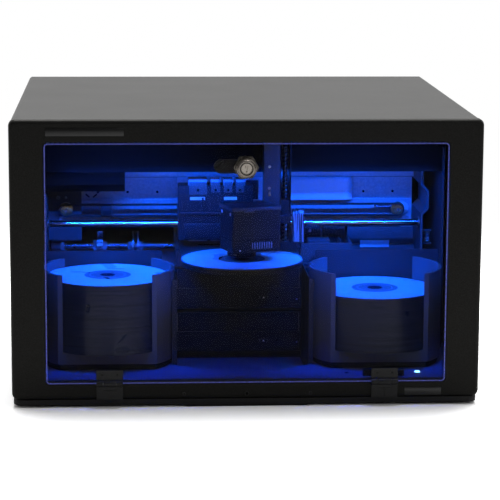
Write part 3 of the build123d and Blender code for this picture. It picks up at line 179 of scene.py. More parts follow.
# ---- shared shader effects -----------------------------------------------------------------------
class Effect:
    """A shader node group under construction, with short calls for its nodes and links."""

    def __init__(self, name, inputs, outputs):
        self.tree = bpy.data.node_groups.new(name, "ShaderNodeTree")
        for label, default in inputs.items():
            kind = "NodeSocketVector" if isinstance(default, tuple) else "NodeSocketFloat"
            socket = self.tree.interface.new_socket(label, in_out="INPUT", socket_type=kind)
            socket.default_value = default
        for label in outputs:
            self.tree.interface.new_socket(label, in_out="OUTPUT", socket_type="NodeSocketFloat")
        self.source = self.tree.nodes.new("NodeGroupInput")
        self.sink = self.tree.nodes.new("NodeGroupOutput")

    def put(self, label, socket):
        self.tree.links.new(socket, self.sink.inputs[label])

    def take(self, label):
        return self.source.outputs[label]

    def noise(self, place, **values):
        """Uneven patches about as large as the effect's Size."""
        rate = arithmetic(self.tree, "DIVIDE", 1.0, self.take("Size"))
        return add(self.tree, "ShaderNodeTexNoise", {"Vector": place, "Scale": rate, **values}).outputs["Fac"]


def grain_effect():
    """Fine bumps of a powder coat or a spark-eroded mould, with a mask of its high points."""
    fx = Effect("fine_grain", {"Size": 0.0006}, ["Height", "Mask"])
    t = fx.tree
    place = object_place(t)
    rate = arithmetic(t, "DIVIDE", 1.0, fx.take("Size"))
    cells = add(t, "ShaderNodeTexVoronoi", {"Vector": place, "Scale": rate}, feature="SMOOTH_F1")
    mixed = arithmetic(t, "ADD", fx.noise(place, Detail=2.0, Roughness=0.6), cells.outputs["Distance"])
    fx.put("Height", mixed)
    fx.put("Mask", ranged(t, mixed, 0.0, 1.0, 0.75, 1.15))
    return t


def handling_effect():
    """Broad uneven patches: where a surface was wiped, moulded or coated less evenly."""
    fx = Effect("handling", {"Size": 0.08, "Contrast": 1.0}, ["Mask"])
    t = fx.tree
    centred = arithmetic(t, "SUBTRACT", fx.noise(object_place(t), Detail=4.0, Distortion=0.6), 0.5)
    spread = arithmetic(t, "MULTIPLY", centred, fx.take("Contrast"))
    fx.put("Mask", arithmetic(t, "ADD", spread, 0.5, clamp=True))
    return t


def drawn_effect():
    """Streaks of rolled, drawn, ground or turned metal along one direction."""
    fx = Effect("drawn_metal", {"Stretch": (1.0, 1.0, 1.0), "Size": 0.001}, ["Height", "Mask"])
    t = fx.tree
    streaks = fx.noise(vector_step(t, "MULTIPLY", object_place(t), fx.take("Stretch")), Detail=3.0)
    fx.put("Height", streaks)
    fx.put("Mask", ranged(t, streaks, 0.0, 1.0, 0.3, 0.7))
    return t


def dust_effect():
    """A thin veil of dust on the faces that look up."""
    fx = Effect("dust_veil", {"Amount": 0.2, "Size": 0.02}, ["Mask"])
    t = fx.tree
    facing = ranged(t, facing_up(t), 0.0, 1.0, 0.5, 1.0)
    veil = arithmetic(t, "MULTIPLY", fx.noise(object_place(t), Detail=6.0, Roughness=0.7), facing)
    fx.put("Mask", arithmetic(t, "MULTIPLY", veil, fx.take("Amount"), clamp=True))
    return t


def ring_effect():
    """Distance from an upright axis, for turned faces and the rings of a disc."""
    fx = Effect("axis_distance", {"Axis": (0.0, 0.0, 0.0)}, ["Radius", "Up"])
    t = fx.tree
    away = vector_step(t, "SUBTRACT", object_place(t), fx.take("Axis"))
    flat = vector_step(t, "MULTIPLY", away, (1.0, 1.0, 0.0))
    fx.put("Radius", add(t, "ShaderNodeVectorMath", {0: flat}, operation="LENGTH").outputs["Value"])
    fx.put("Up", facing_up(t))
    return t


def thread_effect():
    """The flanks of a screw thread: rises and falls along the axis and round it."""
    inputs = {"Side": 0.0, "Height": 0.0, "Along": 0.0, "Lead": 0.02, "Starts": 4.0}
    fx = Effect("screw_thread", inputs, ["Relief"])
    t = fx.tree
    round_it = arithmetic(t, "ARCTAN2", fx.take("Side"), fx.take("Height"))
    turns = arithmetic(t, "DIVIDE", fx.take("Along"), fx.take("Lead"))
    along = arithmetic(t, "MULTIPLY", turns, 2 * math.pi)
    phase = arithmetic(t, "MULTIPLY", arithmetic(t, "ADD", along, round_it), fx.take("Starts"))
    fx.put("Relief", ranged(t, arithmetic(t, "SINE", phase), 0.0, 1.0, -0.8, 0.8))
    return t


EFFECT_MAKERS = {"grain": grain_effect, "handling": handling_effect, "drawn": drawn_effect,
                 "dust": dust_effect, "ring": ring_effect, "thread": thread_effect}
EFFECTS = {}


def effect(tree, name, **values):
    """Places a shared effect in a material with this material's own values."""
    if name not in EFFECTS:
        EFFECTS[name] = EFFECT_MAKERS[name]()
    return add(tree, "ShaderNodeGroup", values, node_tree=EFFECTS[name]).outputs


# ---- materials: sizes and depths of a texture are in metres --------------------------------------
DUST_COLOUR = (0.30, 0.29, 0.27)
DUST_SIZE = 0.015


def grey(level):
    return (level, level, level)


def toned(colour, factor):
    return tuple(c * factor for c in colour)


def blank_material(name):
    material = bpy.data.materials.new(name)
    material.use_nodes = True
    tree = material.node_tree
    return material, tree, tree.nodes["Principled BSDF"]


def blend_colour(tree, fac, first, second):
    """A colour that goes from the first to the second by a mask."""
    mix = add(tree, "ShaderNodeMix", data_type="RGBA")
    first, second = ((*c, 1.0) if isinstance(c, tuple) else c for c in (first, second))
    give(mix, {0: fac, 6: first, 7: second})
    return mix.outputs[2]


def fine_mask(tree, size):
    return effect(tree, "grain", Size=size)["Mask"]


def uneven(tree, lowest, highest, size, contrast):
    """A value that wanders between two limits in broad patches."""
    patches = effect(tree, "handling", Size=size, Contrast=contrast)
    return ranged(tree, patches["Mask"], lowest, highest)


def bump(tree, shader, height, depth, strength=0.6):
    """Surface relief of a real depth."""
    node = add(tree, "ShaderNodeBump", {"Height": height, "Distance": depth, "Strength": strength})
    give(shader, {"Normal": node.outputs["Normal"]})


def coated(name, dark, light, roughness, grain=0.0007, depth=0.00012, gloss=0.3, dust=0.06, spread=0.03):
    """Painted sheet or moulded plastic: fine grain, uneven gloss and a little dust."""
    material, tree, shader = blank_material(name)
    fine = effect(tree, "grain", Size=grain)
    veil = effect(tree, "dust", Amount=dust, Size=DUST_SIZE)
    base = blend_colour(tree, fine["Mask"], dark, light)
    give(shader, {
        "Base Color": blend_colour(tree, veil["Mask"], base, DUST_COLOUR),
        "Roughness": uneven(tree, roughness - spread, roughness + spread, 0.07, 1.6),
        "Specular IOR Level": gloss,
    })
    bump(tree, shader, fine["Height"], depth)
    return material


def powder_coat(dark, light):
    """The case's paint: near black seen straight on, warm and bright where it is seen flat."""
    material = coated("powder_coat", dark, light, 0.42, grain=0.0009, depth=0.0001, gloss=0.5, dust=0.03,
                      spread=0.015)
    give(material.node_tree.nodes["Principled BSDF"], {
        "IOR": 1.195,
        "Specular Tint": (1.0, 0.985, 0.88, 1.0),
        "Coat Weight": 0.22,
        "Coat Roughness": 0.33,
        "Coat IOR": 1.22,
    })
    return material


def metal(name, colour, tone, roughness, stretch=(1, 1, 1), size=0.002, depth=0.00002, spread=0.08):
    """Bare metal: streaks along its working direction, with uneven polish."""
    material, tree, shader = blank_material(name)
    streaks = effect(tree, "drawn", Stretch=stretch, Size=size)
    give(shader, {
        "Base Color": blend_colour(tree, streaks["Mask"], colour, tone),
        "Roughness": uneven(tree, roughness - spread, roughness + spread, 0.03, 1.4),
        "Metallic": 1.0,
    })
    bump(tree, shader, streaks["Height"], depth, 0.5)
    return material


def plug_steel(face_y, depth):
    """Steel that is bright at the key face, with painted shade on the part behind the window."""
    material = metal("plug_steel", *METALS["lock_steel"])
    tree = material.node_tree
    shader = tree.nodes["Principled BSDF"]
    bright = shader.inputs["Base Color"].links[0].from_socket
    place = along_axis(tree, object_place(tree), "Y")
    behind = ranged(tree, place, 0.0, 1.0, face_y + depth, face_y + depth + 0.0002)
    # painted shade: the plug behind the window is coloured near black
    give(shader, {"Base Color": blend_colour(tree, behind, bright, (0.05, 0.05, 0.055))})
    return material


def coiled_ribbon():
    """A wound flat cable seen from its edges: light windings with painted shade in the gaps between them."""
    material, tree, shader = blank_material("coiled_ribbon")
    windings = effect(tree, "drawn", Stretch=(1.0, 1.0, 0.03), Size=0.0016)
    gap_shade = ranged(tree, windings["Mask"], 0.0, 1.0, 0.42, 0.62)
    give(shader, {
        # the dark colour is painted shade in the gaps between the windings
        "Base Color": blend_colour(tree, gap_shade, (0.012, 0.012, 0.015), (0.24, 0.25, 0.28)),
        "Roughness": 0.35,
    })
    bump(tree, shader, windings["Height"], 0.0003, 0.8)
    return material


def threaded(name, along, centre, lead, starts, crest):
    """Steel cut with a screw thread along "X" or "Z" through a centre. crest is the colour of its ridges; the
    grooves get painted shade at a fifth of it.
    """
    material, tree, shader = blank_material(name)
    away = vector_step(tree, "SUBTRACT", object_place(tree), centre)
    parts = add(tree, "ShaderNodeSeparateXYZ", {0: away}).outputs
    side, up = (parts["Y"], parts["Z"]) if along == "X" else (parts["X"], parts["Y"])
    thread = effect(tree, "thread", Side=side, Height=up, Along=parts[along], Lead=lead, Starts=starts)
    give(shader, {
        # painted shade: the thread's grooves are a fifth as bright as its crests
        "Base Color": blend_colour(tree, thread["Relief"], toned(crest, 0.2), crest),
        "Roughness": uneven(tree, 0.24, 0.40, 0.02, 1.4),
        "Metallic": 1.0,
    })
    bump(tree, shader, thread["Relief"], 0.0006, 0.9)
    return material


def column_material(edge_x, light, dark):
    """The pick arm's column: light painted face to the left, dark channel to the right of an edge."""
    material = coated("column_paint", dark, light, 0.42, grain=0.0006, depth=0.00004, gloss=0.4, dust=0.0)
    tree = material.node_tree
    across = along_axis(tree, object_place(tree), "X")
    right_of_edge = ranged(tree, across, 0.0, 1.0, edge_x - 0.1 * MM, edge_x + 0.1 * MM)
    face = blend_colour(tree, fine_mask(tree, 0.0008), light, toned(light, 1.15))
    give(tree.nodes["Principled BSDF"], {"Base Color": blend_colour(tree, right_of_edge, face, dark)})
    return material


def disc_material(name, node, face, rim):
    """A disc: white printable band, clear hub with its stacking ring, clear edge."""
    material, tree, shader = blank_material(name)
    centre = middle(node)
    ring = effect(tree, "ring", Axis=(centre.x, centre.y, 0.0))
    radius = ring["Radius"]
    hub = ranged(tree, radius, 1.0, 0.0, 22.5 * MM, 23.2 * MM)
    ridge_start = ranged(tree, radius, 0.0, 1.0, 16.5 * MM, 16.8 * MM)
    ridge_end = ranged(tree, radius, 1.0, 0.0, 17.6 * MM, 18.0 * MM)
    ridge = arithmetic(tree, "MULTIPLY", ridge_start, ridge_end)
    outer = ranged(tree, radius, 0.0, 1.0, 58.5 * MM, 58.8 * MM)
    side = ranged(tree, ring["Up"], 1.0, 0.0, 0.4, 0.6)
    lit = blend_colour(tree, fine_mask(tree, 0.0004), face, toned(face, 0.9))
    with_hub = blend_colour(tree, hub, lit, (0.10, 0.11, 0.14))
    with_ridge = blend_colour(tree, ridge, with_hub, (0.32, 0.33, 0.38))
    with_rim = blend_colour(tree, outer, with_ridge, (0.22, 0.23, 0.27))
    bands = effect(tree, "drawn", Stretch=(0.02, 0.02, 1.0), Size=0.0022)
    stacked = blend_colour(tree, bands["Mask"], toned(rim, 0.35), toned(rim, 2.0))
    give(shader, {
        "Base Color": blend_colour(tree, side, with_rim, stacked),
        "Roughness": uneven(tree, 0.22, 0.38, 0.04, 1.2),
    })
    bump(tree, shader, ridge, 0.0002, 0.8)
    return material


def window_material(tint, alpha):
    """Clear smoked acrylic, seen through, with a soft polish and faint wiping marks."""
    material, tree, shader = blank_material("smoked_acrylic")
    patches = effect(tree, "handling", Size=0.12, Contrast=2.0)["Mask"]
    marks = effect(tree, "drawn", Stretch=(0.15, 1.0, 1.0), Size=0.004)["Mask"]
    give(shader, {
        "Base Color": blend_colour(tree, patches, tint, toned(tint, 1.6)),
        "Roughness": ranged(tree, marks, 0.05, 0.12),
        "Alpha": ranged(tree, patches, alpha * 0.85, alpha * 1.15),
        "Specular IOR Level": 0.12,
    })
    return material


def glowing(name, colour, lamp, strength):
    """A translucent part that glows unevenly: a lens lit from inside, or the window's edge band, whose glow
    is painted lamp light.
    """
    material, tree, shader = blank_material(name)
    patches = effect(tree, "handling", Size=0.02, Contrast=1.0)["Mask"]
    give(shader, {
        "Base Color": blend_colour(tree, fine_mask(tree, 0.0008), colour, lamp),
        "Emission Color": blend_colour(tree, patches, lamp, toned(lamp, 0.8)),
        "Emission Strength": strength,
        "Roughness": 0.3,
    })
    return material


def lamp_board_material(lamp):
    """A lamp strip: green-black board with lit chips under it."""
    material, tree, shader = blank_material("lamp_board")
    board_z = high("led_strips").z - 1.65 * MM
    chip = ranged(tree, along_axis(tree, object_place(tree), "Z"), 1.0, 0.0, board_z - 0.1 * MM, board_z)
    board = blend_colour(tree, fine_mask(tree, 0.0009), (0.01, 0.03, 0.02), (0.02, 0.05, 0.03))
    give(shader, {
        "Base Color": blend_colour(tree, chip, board, (0.7, 0.75, 0.8)),
        "Emission Color": blend_colour(tree, chip, grey(0.0), lamp),
        "Emission Strength": 3.0,
        "Roughness": 0.4,
    })
    return material


# dark and light colour, roughness, then what differs from the usual grain, depth, gloss and dust
COATINGS = {
    "foot_rubber": (grey(0.012), grey(0.02), 0.8, 0.0012),
    "hinge_paint": ((0.010, 0.010, 0.011), (0.018, 0.018, 0.019), 0.38, 0.0006),
    "matt_black": ((0.0008, 0.0008, 0.0009), (0.0016, 0.0016, 0.0018), 0.6, 0.0008, 0.0001, 0.05, 0.0),
    "black_sheet": ((0.022, 0.022, 0.026), (0.036, 0.036, 0.042), 0.45, 0.0007, 0.0001, 0.4),
    # deck sheet: brighter and bluer than the black sheet, painted light for the chamber lamps' blue glow on
    # the deck and the well floor
    "deck_sheet_painted_light": ((0.10, 0.105, 0.20), (0.13, 0.135, 0.25), 0.5, 0.0009, 0.0001, 0.3, 0.0),
    "badge_black": (grey(0.006), grey(0.009), 0.22, 0.0004, 0.00001, 0.5),
    # painted shade: near-black marks for holes, slots, grooves and driver recesses; also the dark seam lines
    # of the gripper head
    "recess_shade_and_seam_black": (grey(0.002), grey(0.004), 0.7, 0.0005, 0.00005, 0.1),
    "blank_label": ((0.55, 0.56, 0.60), (0.66, 0.67, 0.70), 0.45, 0.0007, 0.00002, 0.4, 0.0),
    "clear_strip": ((0.16, 0.17, 0.20), (0.34, 0.35, 0.40), 0.25, 0.0012, 0.00001, 0.5, 0.0),
    "zinc_sheet": ((0.42, 0.43, 0.45), (0.50, 0.51, 0.53), 0.40, 0.002, 0.00003, 0.5, 0.0),
    "drive_front": ((0.015, 0.015, 0.017), (0.020, 0.020, 0.023), 0.42, 0.0008, 0.00003),
    "moulded_black": ((0.014, 0.014, 0.016), (0.019, 0.019, 0.021), 0.42, 0.0007, 0.00003, 0.25),
    "moulded_grey": ((0.06, 0.06, 0.065), (0.08, 0.08, 0.085), 0.45, 0.0008),
    "ink_shell": ((0.30, 0.31, 0.34), (0.36, 0.37, 0.40), 0.30, 0.0006, 0.00006, 0.5),
    "belt_rubber": (grey(0.018), grey(0.03), 0.7, 0.001),
    "ribbon_white": ((0.62, 0.64, 0.68), (0.70, 0.72, 0.76), 0.35, 0.0010, 0.00003, 0.5, 0.0),
    "circuit_board": ((0.015, 0.09, 0.045), (0.02, 0.12, 0.06), 0.4, 0.0016),
}

# colour, streak colour, roughness, stretch and size of the streaks, then depth and spread where they differ
METALS = {
    "lock_steel": ((0.62, 0.56, 0.50), (0.50, 0.45, 0.40), 0.28, (1, 1, 1), 0.0015),
    # barrel steel: a darker copy of the lock steel, painted shade on the lock's barrel
    "barrel_steel_painted_shade": ((0.30, 0.27, 0.24), (0.20, 0.18, 0.16), 0.24, (1, 1, 1), 0.0015),
    "gold_contact": ((0.78, 0.58, 0.28), (0.66, 0.48, 0.22), 0.25, (1, 1, 4), 0.001),
    "drive_can": ((0.42, 0.43, 0.45), (0.34, 0.35, 0.37), 0.45, (1, 0.15, 1), 0.004),
    "pulley_brass": ((0.72, 0.55, 0.26), (0.60, 0.45, 0.20), 0.25, (1, 1, 6), 0.002),
    "ground_steel": ((0.60, 0.60, 0.61), (0.46, 0.46, 0.47), 0.28, (0.3, 4, 4), 0.002),
    "polished_rod": ((0.80, 0.80, 0.82), (0.70, 0.70, 0.72), 0.10, (0.2, 6, 6), 0.003, 0.000005, 0.03),
}


def own_materials(case, chamber):
    """The materials that follow the settings, or a place on one part."""
    skirt, bins, face, rim = (tuple(c) for c in (case.skirt, chamber.bin, chamber.disc, chamber.disc_edge))
    column_edge = high("arm_carriage").x - 11.5 * MM
    arm_axis, lift_axis = tuple(middle("arm_screw")), tuple(middle("lift_screw"))
    return {
        "powder_coat": powder_coat(tuple(case.paint), tuple(case.paint_light)),
        "skirt_plastic": coated("skirt_plastic", skirt, toned(skirt, 1.5), 0.6),
        "smoked_acrylic": window_material(tuple(case.acrylic), case.window_alpha),
        # the window edge's glow is painted lamp light caught in the acrylic
        "window_edge": glowing("window_edge", (0.05, 0.05, 0.10), tuple(case.painted_edge_glow), 0.15),
        "bin_plastic": coated("bin_plastic", bins, toned(bins, 1.08), 0.5, grain=0.0008, depth=0.0001,
                              gloss=0.4, dust=0.0),
        "left_discs": disc_material("left_discs", "left_disc_stack", face, rim),
        "right_discs": disc_material("right_discs", "right_disc_stack", face, rim),
        "tray_discs": disc_material("tray_discs", "tray_disc", face, rim),
        "lamp_board": lamp_board_material(tuple(chamber.lamp)),
        "lamp_lens": glowing("lamp_lens", (0.4, 0.7, 1.0), (0.25, 0.60, 1.0), 6.0),
        "plug_steel": plug_steel(low("lock_plug").y, 12 * MM),
        "coiled_ribbon": coiled_ribbon(),
        "arm_thread": threaded("arm_thread", "X", arm_axis, 20 * MM, 4.0, (0.52, 0.52, 0.54)),
        "lift_thread": threaded("lift_thread", "Z", lift_axis, 8 * MM, 2.0, (0.09, 0.09, 0.095)),
        "column_paint": column_material(column_edge, (0.042, 0.042, 0.048), (0.008, 0.008, 0.010)),
    }


MATERIALS = {}

NODE_FINISH = {
    "powder_coat": ["base_pan", "case_cover", "front_bezel", "rear_panel"],
    "skirt_plastic": ["plinth"],
    "foot_rubber": ["feet", "bin_seats"],
    "hinge_paint": ["hinge_door_leaves", "hinge_frame_leaves", "case_screws"],
    "smoked_acrylic": ["door_panel"],
    # the lock body gets the darker steel of painted shade
    "barrel_steel_painted_shade": ["lock_body"],
    "plug_steel": ["lock_plug"],
    "bin_plastic": ["left_bin", "right_bin"],
    "left_discs": ["left_disc_stack"],
    "right_discs": ["right_disc_stack"],
    "tray_discs": ["tray_disc"],
    # the deck plate gets the bluish sheet of painted lamp light
    "deck_sheet_painted_light": ["deck_plate"],
    "black_sheet": ["chute_walls", "inner_panels", "printer_base"],
    "matt_black": ["arm_beam", "power_supply"],
    "lamp_board": ["led_strips"],
    "lamp_lens": ["power_button"],
    "zinc_sheet": ["printer_back_plate"],
    "drive_can": ["drive_bodies", "drive_cage"],
    "drive_front": ["drive_bezels", "upper_drive_tray", "lower_drive_tray", "upper_eject_button",
                    "lower_eject_button", "fan_frame", "fan_rotor", "rear_sockets"],
    "moulded_black": ["carriage_body", "printer_tray", "gripper_head", "door_switch"],
    "moulded_grey": ["end_brackets", "service_station"],
    "ink_shell": ["ink_cartridges"],
    "belt_rubber": ["carriage_belt"],
    "pulley_brass": ["carriage_idler_pulley", "carriage_drive_pulley"],
    "ground_steel": ["hinge_pins", "carriage_motor", "feed_shaft", "bracket_spring",
                     "gripper_finger_left", "gripper_finger_right"],
    "arm_thread": ["arm_screw"],
    "lift_thread": ["lift_screw"],
    "polished_rod": ["guide_rod"],
    "ribbon_white": ["carriage_flex"],
    "coiled_ribbon": ["arm_flex"],
    "circuit_board": ["control_board"],
    "column_paint": ["arm_carriage"],
}

# millimetres of broken edge, and the parts that have it
EDGE_WIDTHS = {
    0.5: ["left_bin", "right_bin", "gripper_head", "arm_carriage", "power_supply", "plinth"],
    0.3: ["carriage_body", "ink_cartridges", "drive_bezels", "upper_drive_tray", "lower_drive_tray",
          "arm_beam", "deck_plate", "hinge_door_leaves", "door_switch", "lock_body", "lock_plug"],
}
WELD_GAP = 0.01 * MM
SHARP_EDGE = math.radians(40)
SMOOTH_EDGE = math.radians(35)


# ---- mesh building -------------------------------------------------------------------------------
def new_object(name, data):
    made = bpy.data.objects.new(name, data)
    bpy.context.scene.collection.objects.link(made)
    return made


class Shape:
    """Collects the solids of one piece in a bmesh. Points are in metres, offsets and sizes in millimetres."""

    def __init__(self):
        self.mesh = bmesh.new()

    def _bevel(self, made, width, rims_only=False):
        """Breaks the edges of what was made, or only those round the flat ends of a bar."""
        edges = dict.fromkeys(e for v in made["verts"] for e in v.link_edges)
        if rims_only:
            edges = [e for e in edges if any(len(f.verts) > 4 for f in e.link_faces)]
        if width > 0:
            bmesh.ops.bevel(self.mesh, geom=list(edges), offset=width * MM, segments=2, profile=0.5,
                            affect="EDGES", clamp_overlap=True)

    def _skin(self, rings):
        """Faces between each ring of vertices and the next."""
        for near, far in zip(rings, rings[1:]):
            for k in range(len(near)):
                after = (k + 1) % len(near)
                self.mesh.faces.new((near[k], near[after], far[after], far[k]))

    def block(self, origin, x, y, z, bevel=0.0, turn=None):
        """A box from one offset to another along each axis. turn is (angle, axis, centre)."""
        start, end = (Vector(origin) + mm(*offset) for offset in zip(x, y, z))
        place = Matrix.Translation((start + end) / 2) @ Matrix.Diagonal((*(end - start), 1.0))
        if turn is not None:
            angle, axis, centre = turn
            to_centre = Matrix.Translation(centre)
            place = to_centre @ Matrix.Rotation(angle, 4, axis) @ to_centre.inverted() @ place
        self._bevel(bmesh.ops.create_cube(self.mesh, size=1.0, matrix=place), bevel)
        return self

    def pin(self, origin, axis, span, radius, bevel=0.0, sides=32):
        """A round bar from one offset to another along an axis."""
        start, end = (Vector(origin) + AXES[axis] * offset * MM for offset in span)
        turn = AXES["Z"].rotation_difference(AXES[axis]).to_matrix().to_4x4()
        made = bmesh.ops.create_cone(self.mesh, cap_ends=True, segments=sides, radius1=radius * MM,
                                     radius2=radius * MM, depth=(end - start).length,
                                     matrix=Matrix.Translation((start + end) / 2) @ turn)
        self._bevel(made, bevel, rims_only=True)
        return self

    def hoop(self, centre, axis, radius, wire, steps=40, sides=8):
        """A closed ring of round wire about an axis through its centre."""
        across = AXES[axis].orthogonal().normalized()
        other = AXES[axis].cross(across)
        rings = []
        for i in range(steps):
            a = 2 * math.pi * i / steps
            out = across * math.cos(a) + other * math.sin(a)
            ring = []
            for k in range(sides):
                b = 2 * math.pi * k / sides
                offset = out * (radius + wire * math.cos(b)) + AXES[axis] * wire * math.sin(b)
                ring.append(self.mesh.verts.new(Vector(centre) + offset * MM))
            rings.append(ring)
        self._skin(rings + rings[:1])
        return self

    def cross_mark(self, place, axis, size, proud=0.04):
        """A cross of painted shade for a screw's driver recess, laid on its head. axis is "X" or "Y"."""
        long, short, thick = ((-w / 2, w / 2) for w in (size, 0.28 * size, 2 * proud))
        for across, up in ((long, short), (short, long)):
            x, y = (thick, across) if axis == "X" else (across, thick)
            self.block(place, x, y, up)
        return self

    def loft(self, profiles):
        """A solid between like profiles, each a list of points."""
        rings = [[self.mesh.verts.new(p) for p in profile] for profile in profiles]
        self._skin(rings)
        self.mesh.faces.new(list(reversed(rings[0])))
        self.mesh.faces.new(rings[-1])
        return self

    def ring_frame(self, levels):
        """A closed band. Its levels are like rings of points that go once round the band's section."""
        rings = [[self.mesh.verts.new(p) for p in level] for level in levels]
        self._skin(rings + rings[:1])
        return self

    def piece(self, name, material, body, slot):
        """Finishes the mesh as an object that rides on a body."""
        bmesh.ops.recalc_face_normals(self.mesh, faces=self.mesh.faces)
        data = bpy.data.meshes.new(name)
        self.mesh.to_mesh(data)
        self.mesh.free()
        made = new_object(name, data)
        data.materials.append(MATERIALS[material])
        data.shade_smooth()
        data.set_sharp_from_angle(angle=SMOOTH_EDGE)
        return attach(made, body)


def rounded_outline(width, height, corner, centre, y, steps=8):
    """Points round an upright rectangle with round corners, in the plane at y."""
    points = []
    for quarter, (sx, sz) in enumerate(((1, 1), (-1, 1), (-1, -1), (1, -1))):
        corner_x = centre.x + sx * (width / 2 - corner)
        corner_z = centre.z + sz * (height / 2 - corner)
        for k in range(steps + 1):
            a = math.pi / 2 * (quarter + k / steps)
            points.append((corner_x + corner * math.cos(a), y, corner_z + corner * math.sin(a)))
    return points


# ---- operators -----------------------------------------------------------------------------------
class PRINTER_OT_finishes(bpy.types.Operator):
    """Make every material and give each node of the frame its finish"""

    bl_idname = "disc_printer.finishes"
    bl_label = "Finishes"

    def execute(self, context):
        case, chamber, _ = settings()
        MATERIALS.update({name: coated(name, *values) for name, values in COATINGS.items()})
        MATERIALS.update({name: metal(name, *values) for name, values in METALS.items()})
        MATERIALS.update(own_materials(case, chamber))
        named = {n for nodes in NODE_FINISH.values() for n in nodes}
        missing = sorted(set(NODES) - named)
        if missing:
            raise RuntimeError(f"no finish for {missing}")
        for material, nodes in NODE_FINISH.items():
            for node in nodes:
                NODES[node].data.materials.clear()
                NODES[node].data.materials.append(MATERIALS[material])
        return {"FINISHED"}


class PRINTER_OT_door(bpy.types.Operator):
    """Polished edge band of the window, which glows with painted lamp light"""

    bl_idname = "disc_printer.door"
    bl_label = "Door details"

    def execute(self, context):
        a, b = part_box("door_panel")
        corner, band = 3.5, 1.1
        levels = []
        # how much wider than the pane, the radius of its corners, and how far behind the pane's face
        for wider, radius, behind in ((0.1, corner, 0.6), (0.1, corner, 0.0), (-0.2, corner, -0.08),
                                      (-2 * band, corner - band, 0.02), (-2 * band, corner - band, -0.01)):
            levels.append(rounded_outline(b.x - a.x + wider * MM, b.z - a.z + wider * MM, radius * MM,
                                          (a + b) / 2, a.y + behind * MM))
        Shape().ring_frame(levels).piece("window_edge_band", "window_edge", "door", "smoked_acrylic")
        return {"FINISHED"}


class PRINTER_OT_case(bpy.types.Operator):
    """Bare badge plates, screw recesses, the eyelet in the bezel, the rating plate and the sockets' pins"""

    bl_idname = "disc_printer.case"
    bl_label = "Case details"

    def badges(self, face, top):
        """Blank glossy plates in the two shallow recesses of the bezel."""
        upper = Vector((-151.5 * MM, face.y, top - 11.4 * MM))
        lower = Vector((168.7 * MM, face.y, face.z + 6.0 * MM))
        shape = Shape()
        for place, half_w, half_h in ((upper, 36.4, 3.9), (lower, 17.7, 3.95)):
            shape.block(place, (-half_w, half_w), (0.06, 0.36), (-half_h, half_h), 0.1)
        shape.piece("badge_plates", "badge_black", "root", "case_black")

    def eyelet(self, face):
        """A rimmed hole low in the middle of the bezel, its depth given as painted shade."""
        place = Vector((0.4 * MM, face.y, face.z + 4.9 * MM))
        # the hole is a dark disc of painted shade
        Shape().pin(place, "Y", (-0.10, 0.2), 1.5).piece("eyelet_hole", "recess_shade_and_seam_black", "root", "case_black")
        rim = Shape().hoop(place - mm(0, 0.12, 0), "Y", 1.75, 0.28)
        rim.piece("eyelet_rim", "hinge_paint", "root", "case_black")

    def screw_recesses(self, face, back):
        """Crosses of painted shade for the driver recesses on the screws of the bezel, the rear panel and the
        cover's sides.
        """
        case_low, case_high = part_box("case_cover")
        shape = Shape()
        for x in (-59.2, 60.9):
            shape.cross_mark((x * MM, face.y - 0.5 * MM, face.z + 4.9 * MM), "Y", 1.7)
        corner_x = case_high.x - 16.25 * MM
        head_z = case_high.z - 11.4 * MM
        foot_z = case_low.z + 22.3 * MM
        for z, row in ((head_z, (-corner_x, 0, corner_x)), (foot_z, (-corner_x, corner_x))):
            for x in row:
                shape.cross_mark((x, back + 1.8 * MM, z), "Y", 3.6)
        from_end = 63.7 * MM
        for x in (-case_high.x - 0.9 * MM, case_high.x + 0.9 * MM):
            for y in (face.y + from_end, back - from_end):
                shape.cross_mark((x, y, case_low.z + 6.8 * MM), "X", 3.6)
        shape.piece("screw_recesses", "recess_shade_and_seam_black", "root", "case_black")

    def rating_plate(self, back):
        """A blank plate on the rear panel, held by four rivets."""
        corner = Vector((-20 * MM, back, 52 * MM))
        width, height, thick, inset = 62, 34, 0.3, 3
        plate = Shape().block(corner, (0, width), (0, thick), (0, height), 0.1)
        plate.piece("rating_plate", "blank_label", "root", "case_black")
        rivets = Shape()
        for x in (inset, width - inset):
            for z in (inset, height - inset):
                rivets.pin(corner + mm(x, thick, z), "Y", (0, 0.5), 1.1, 0.1)
        rivets.piece("rating_plate_rivets", "lock_steel", "root", "case_black")

    def socket_contacts(self, back):
        """Three pins in the mains inlet and four contacts in the data socket beside it."""
        a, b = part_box("rear_sockets")
        inlet = Vector((a.x + 25 * MM, back, b.z - 14 * MM))
        pins = Shape()
        for x, z in ((0, 3), (-6.5, -2), (6.5, -2)):
            pins.block(inlet, (x - 1.05, x + 1.05), (-13.9, -3.95), (z - 2.05, z + 2.05), 0.3)
        pins.piece("inlet_pins", "lock_steel", "root", "drive_black")
        contacts = Shape()
        for k in range(4):
            x = 57.2 + 1.2 * k
            contacts.block(inlet, (x - 0.3, x + 0.3), (-7.5, -1.3), (1.62, 1.74))
        contacts.piece("data_contacts", "gold_contact", "root", "drive_black")

    def execute(self, context):
        a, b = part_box("front_bezel")
        back = high("rear_panel").y
        self.badges(a, b.z)
        self.eyelet(a)
        self.screw_recesses(a, back)
        self.rating_plate(back)
        self.socket_contacts(back)
        return {"FINISHED"}


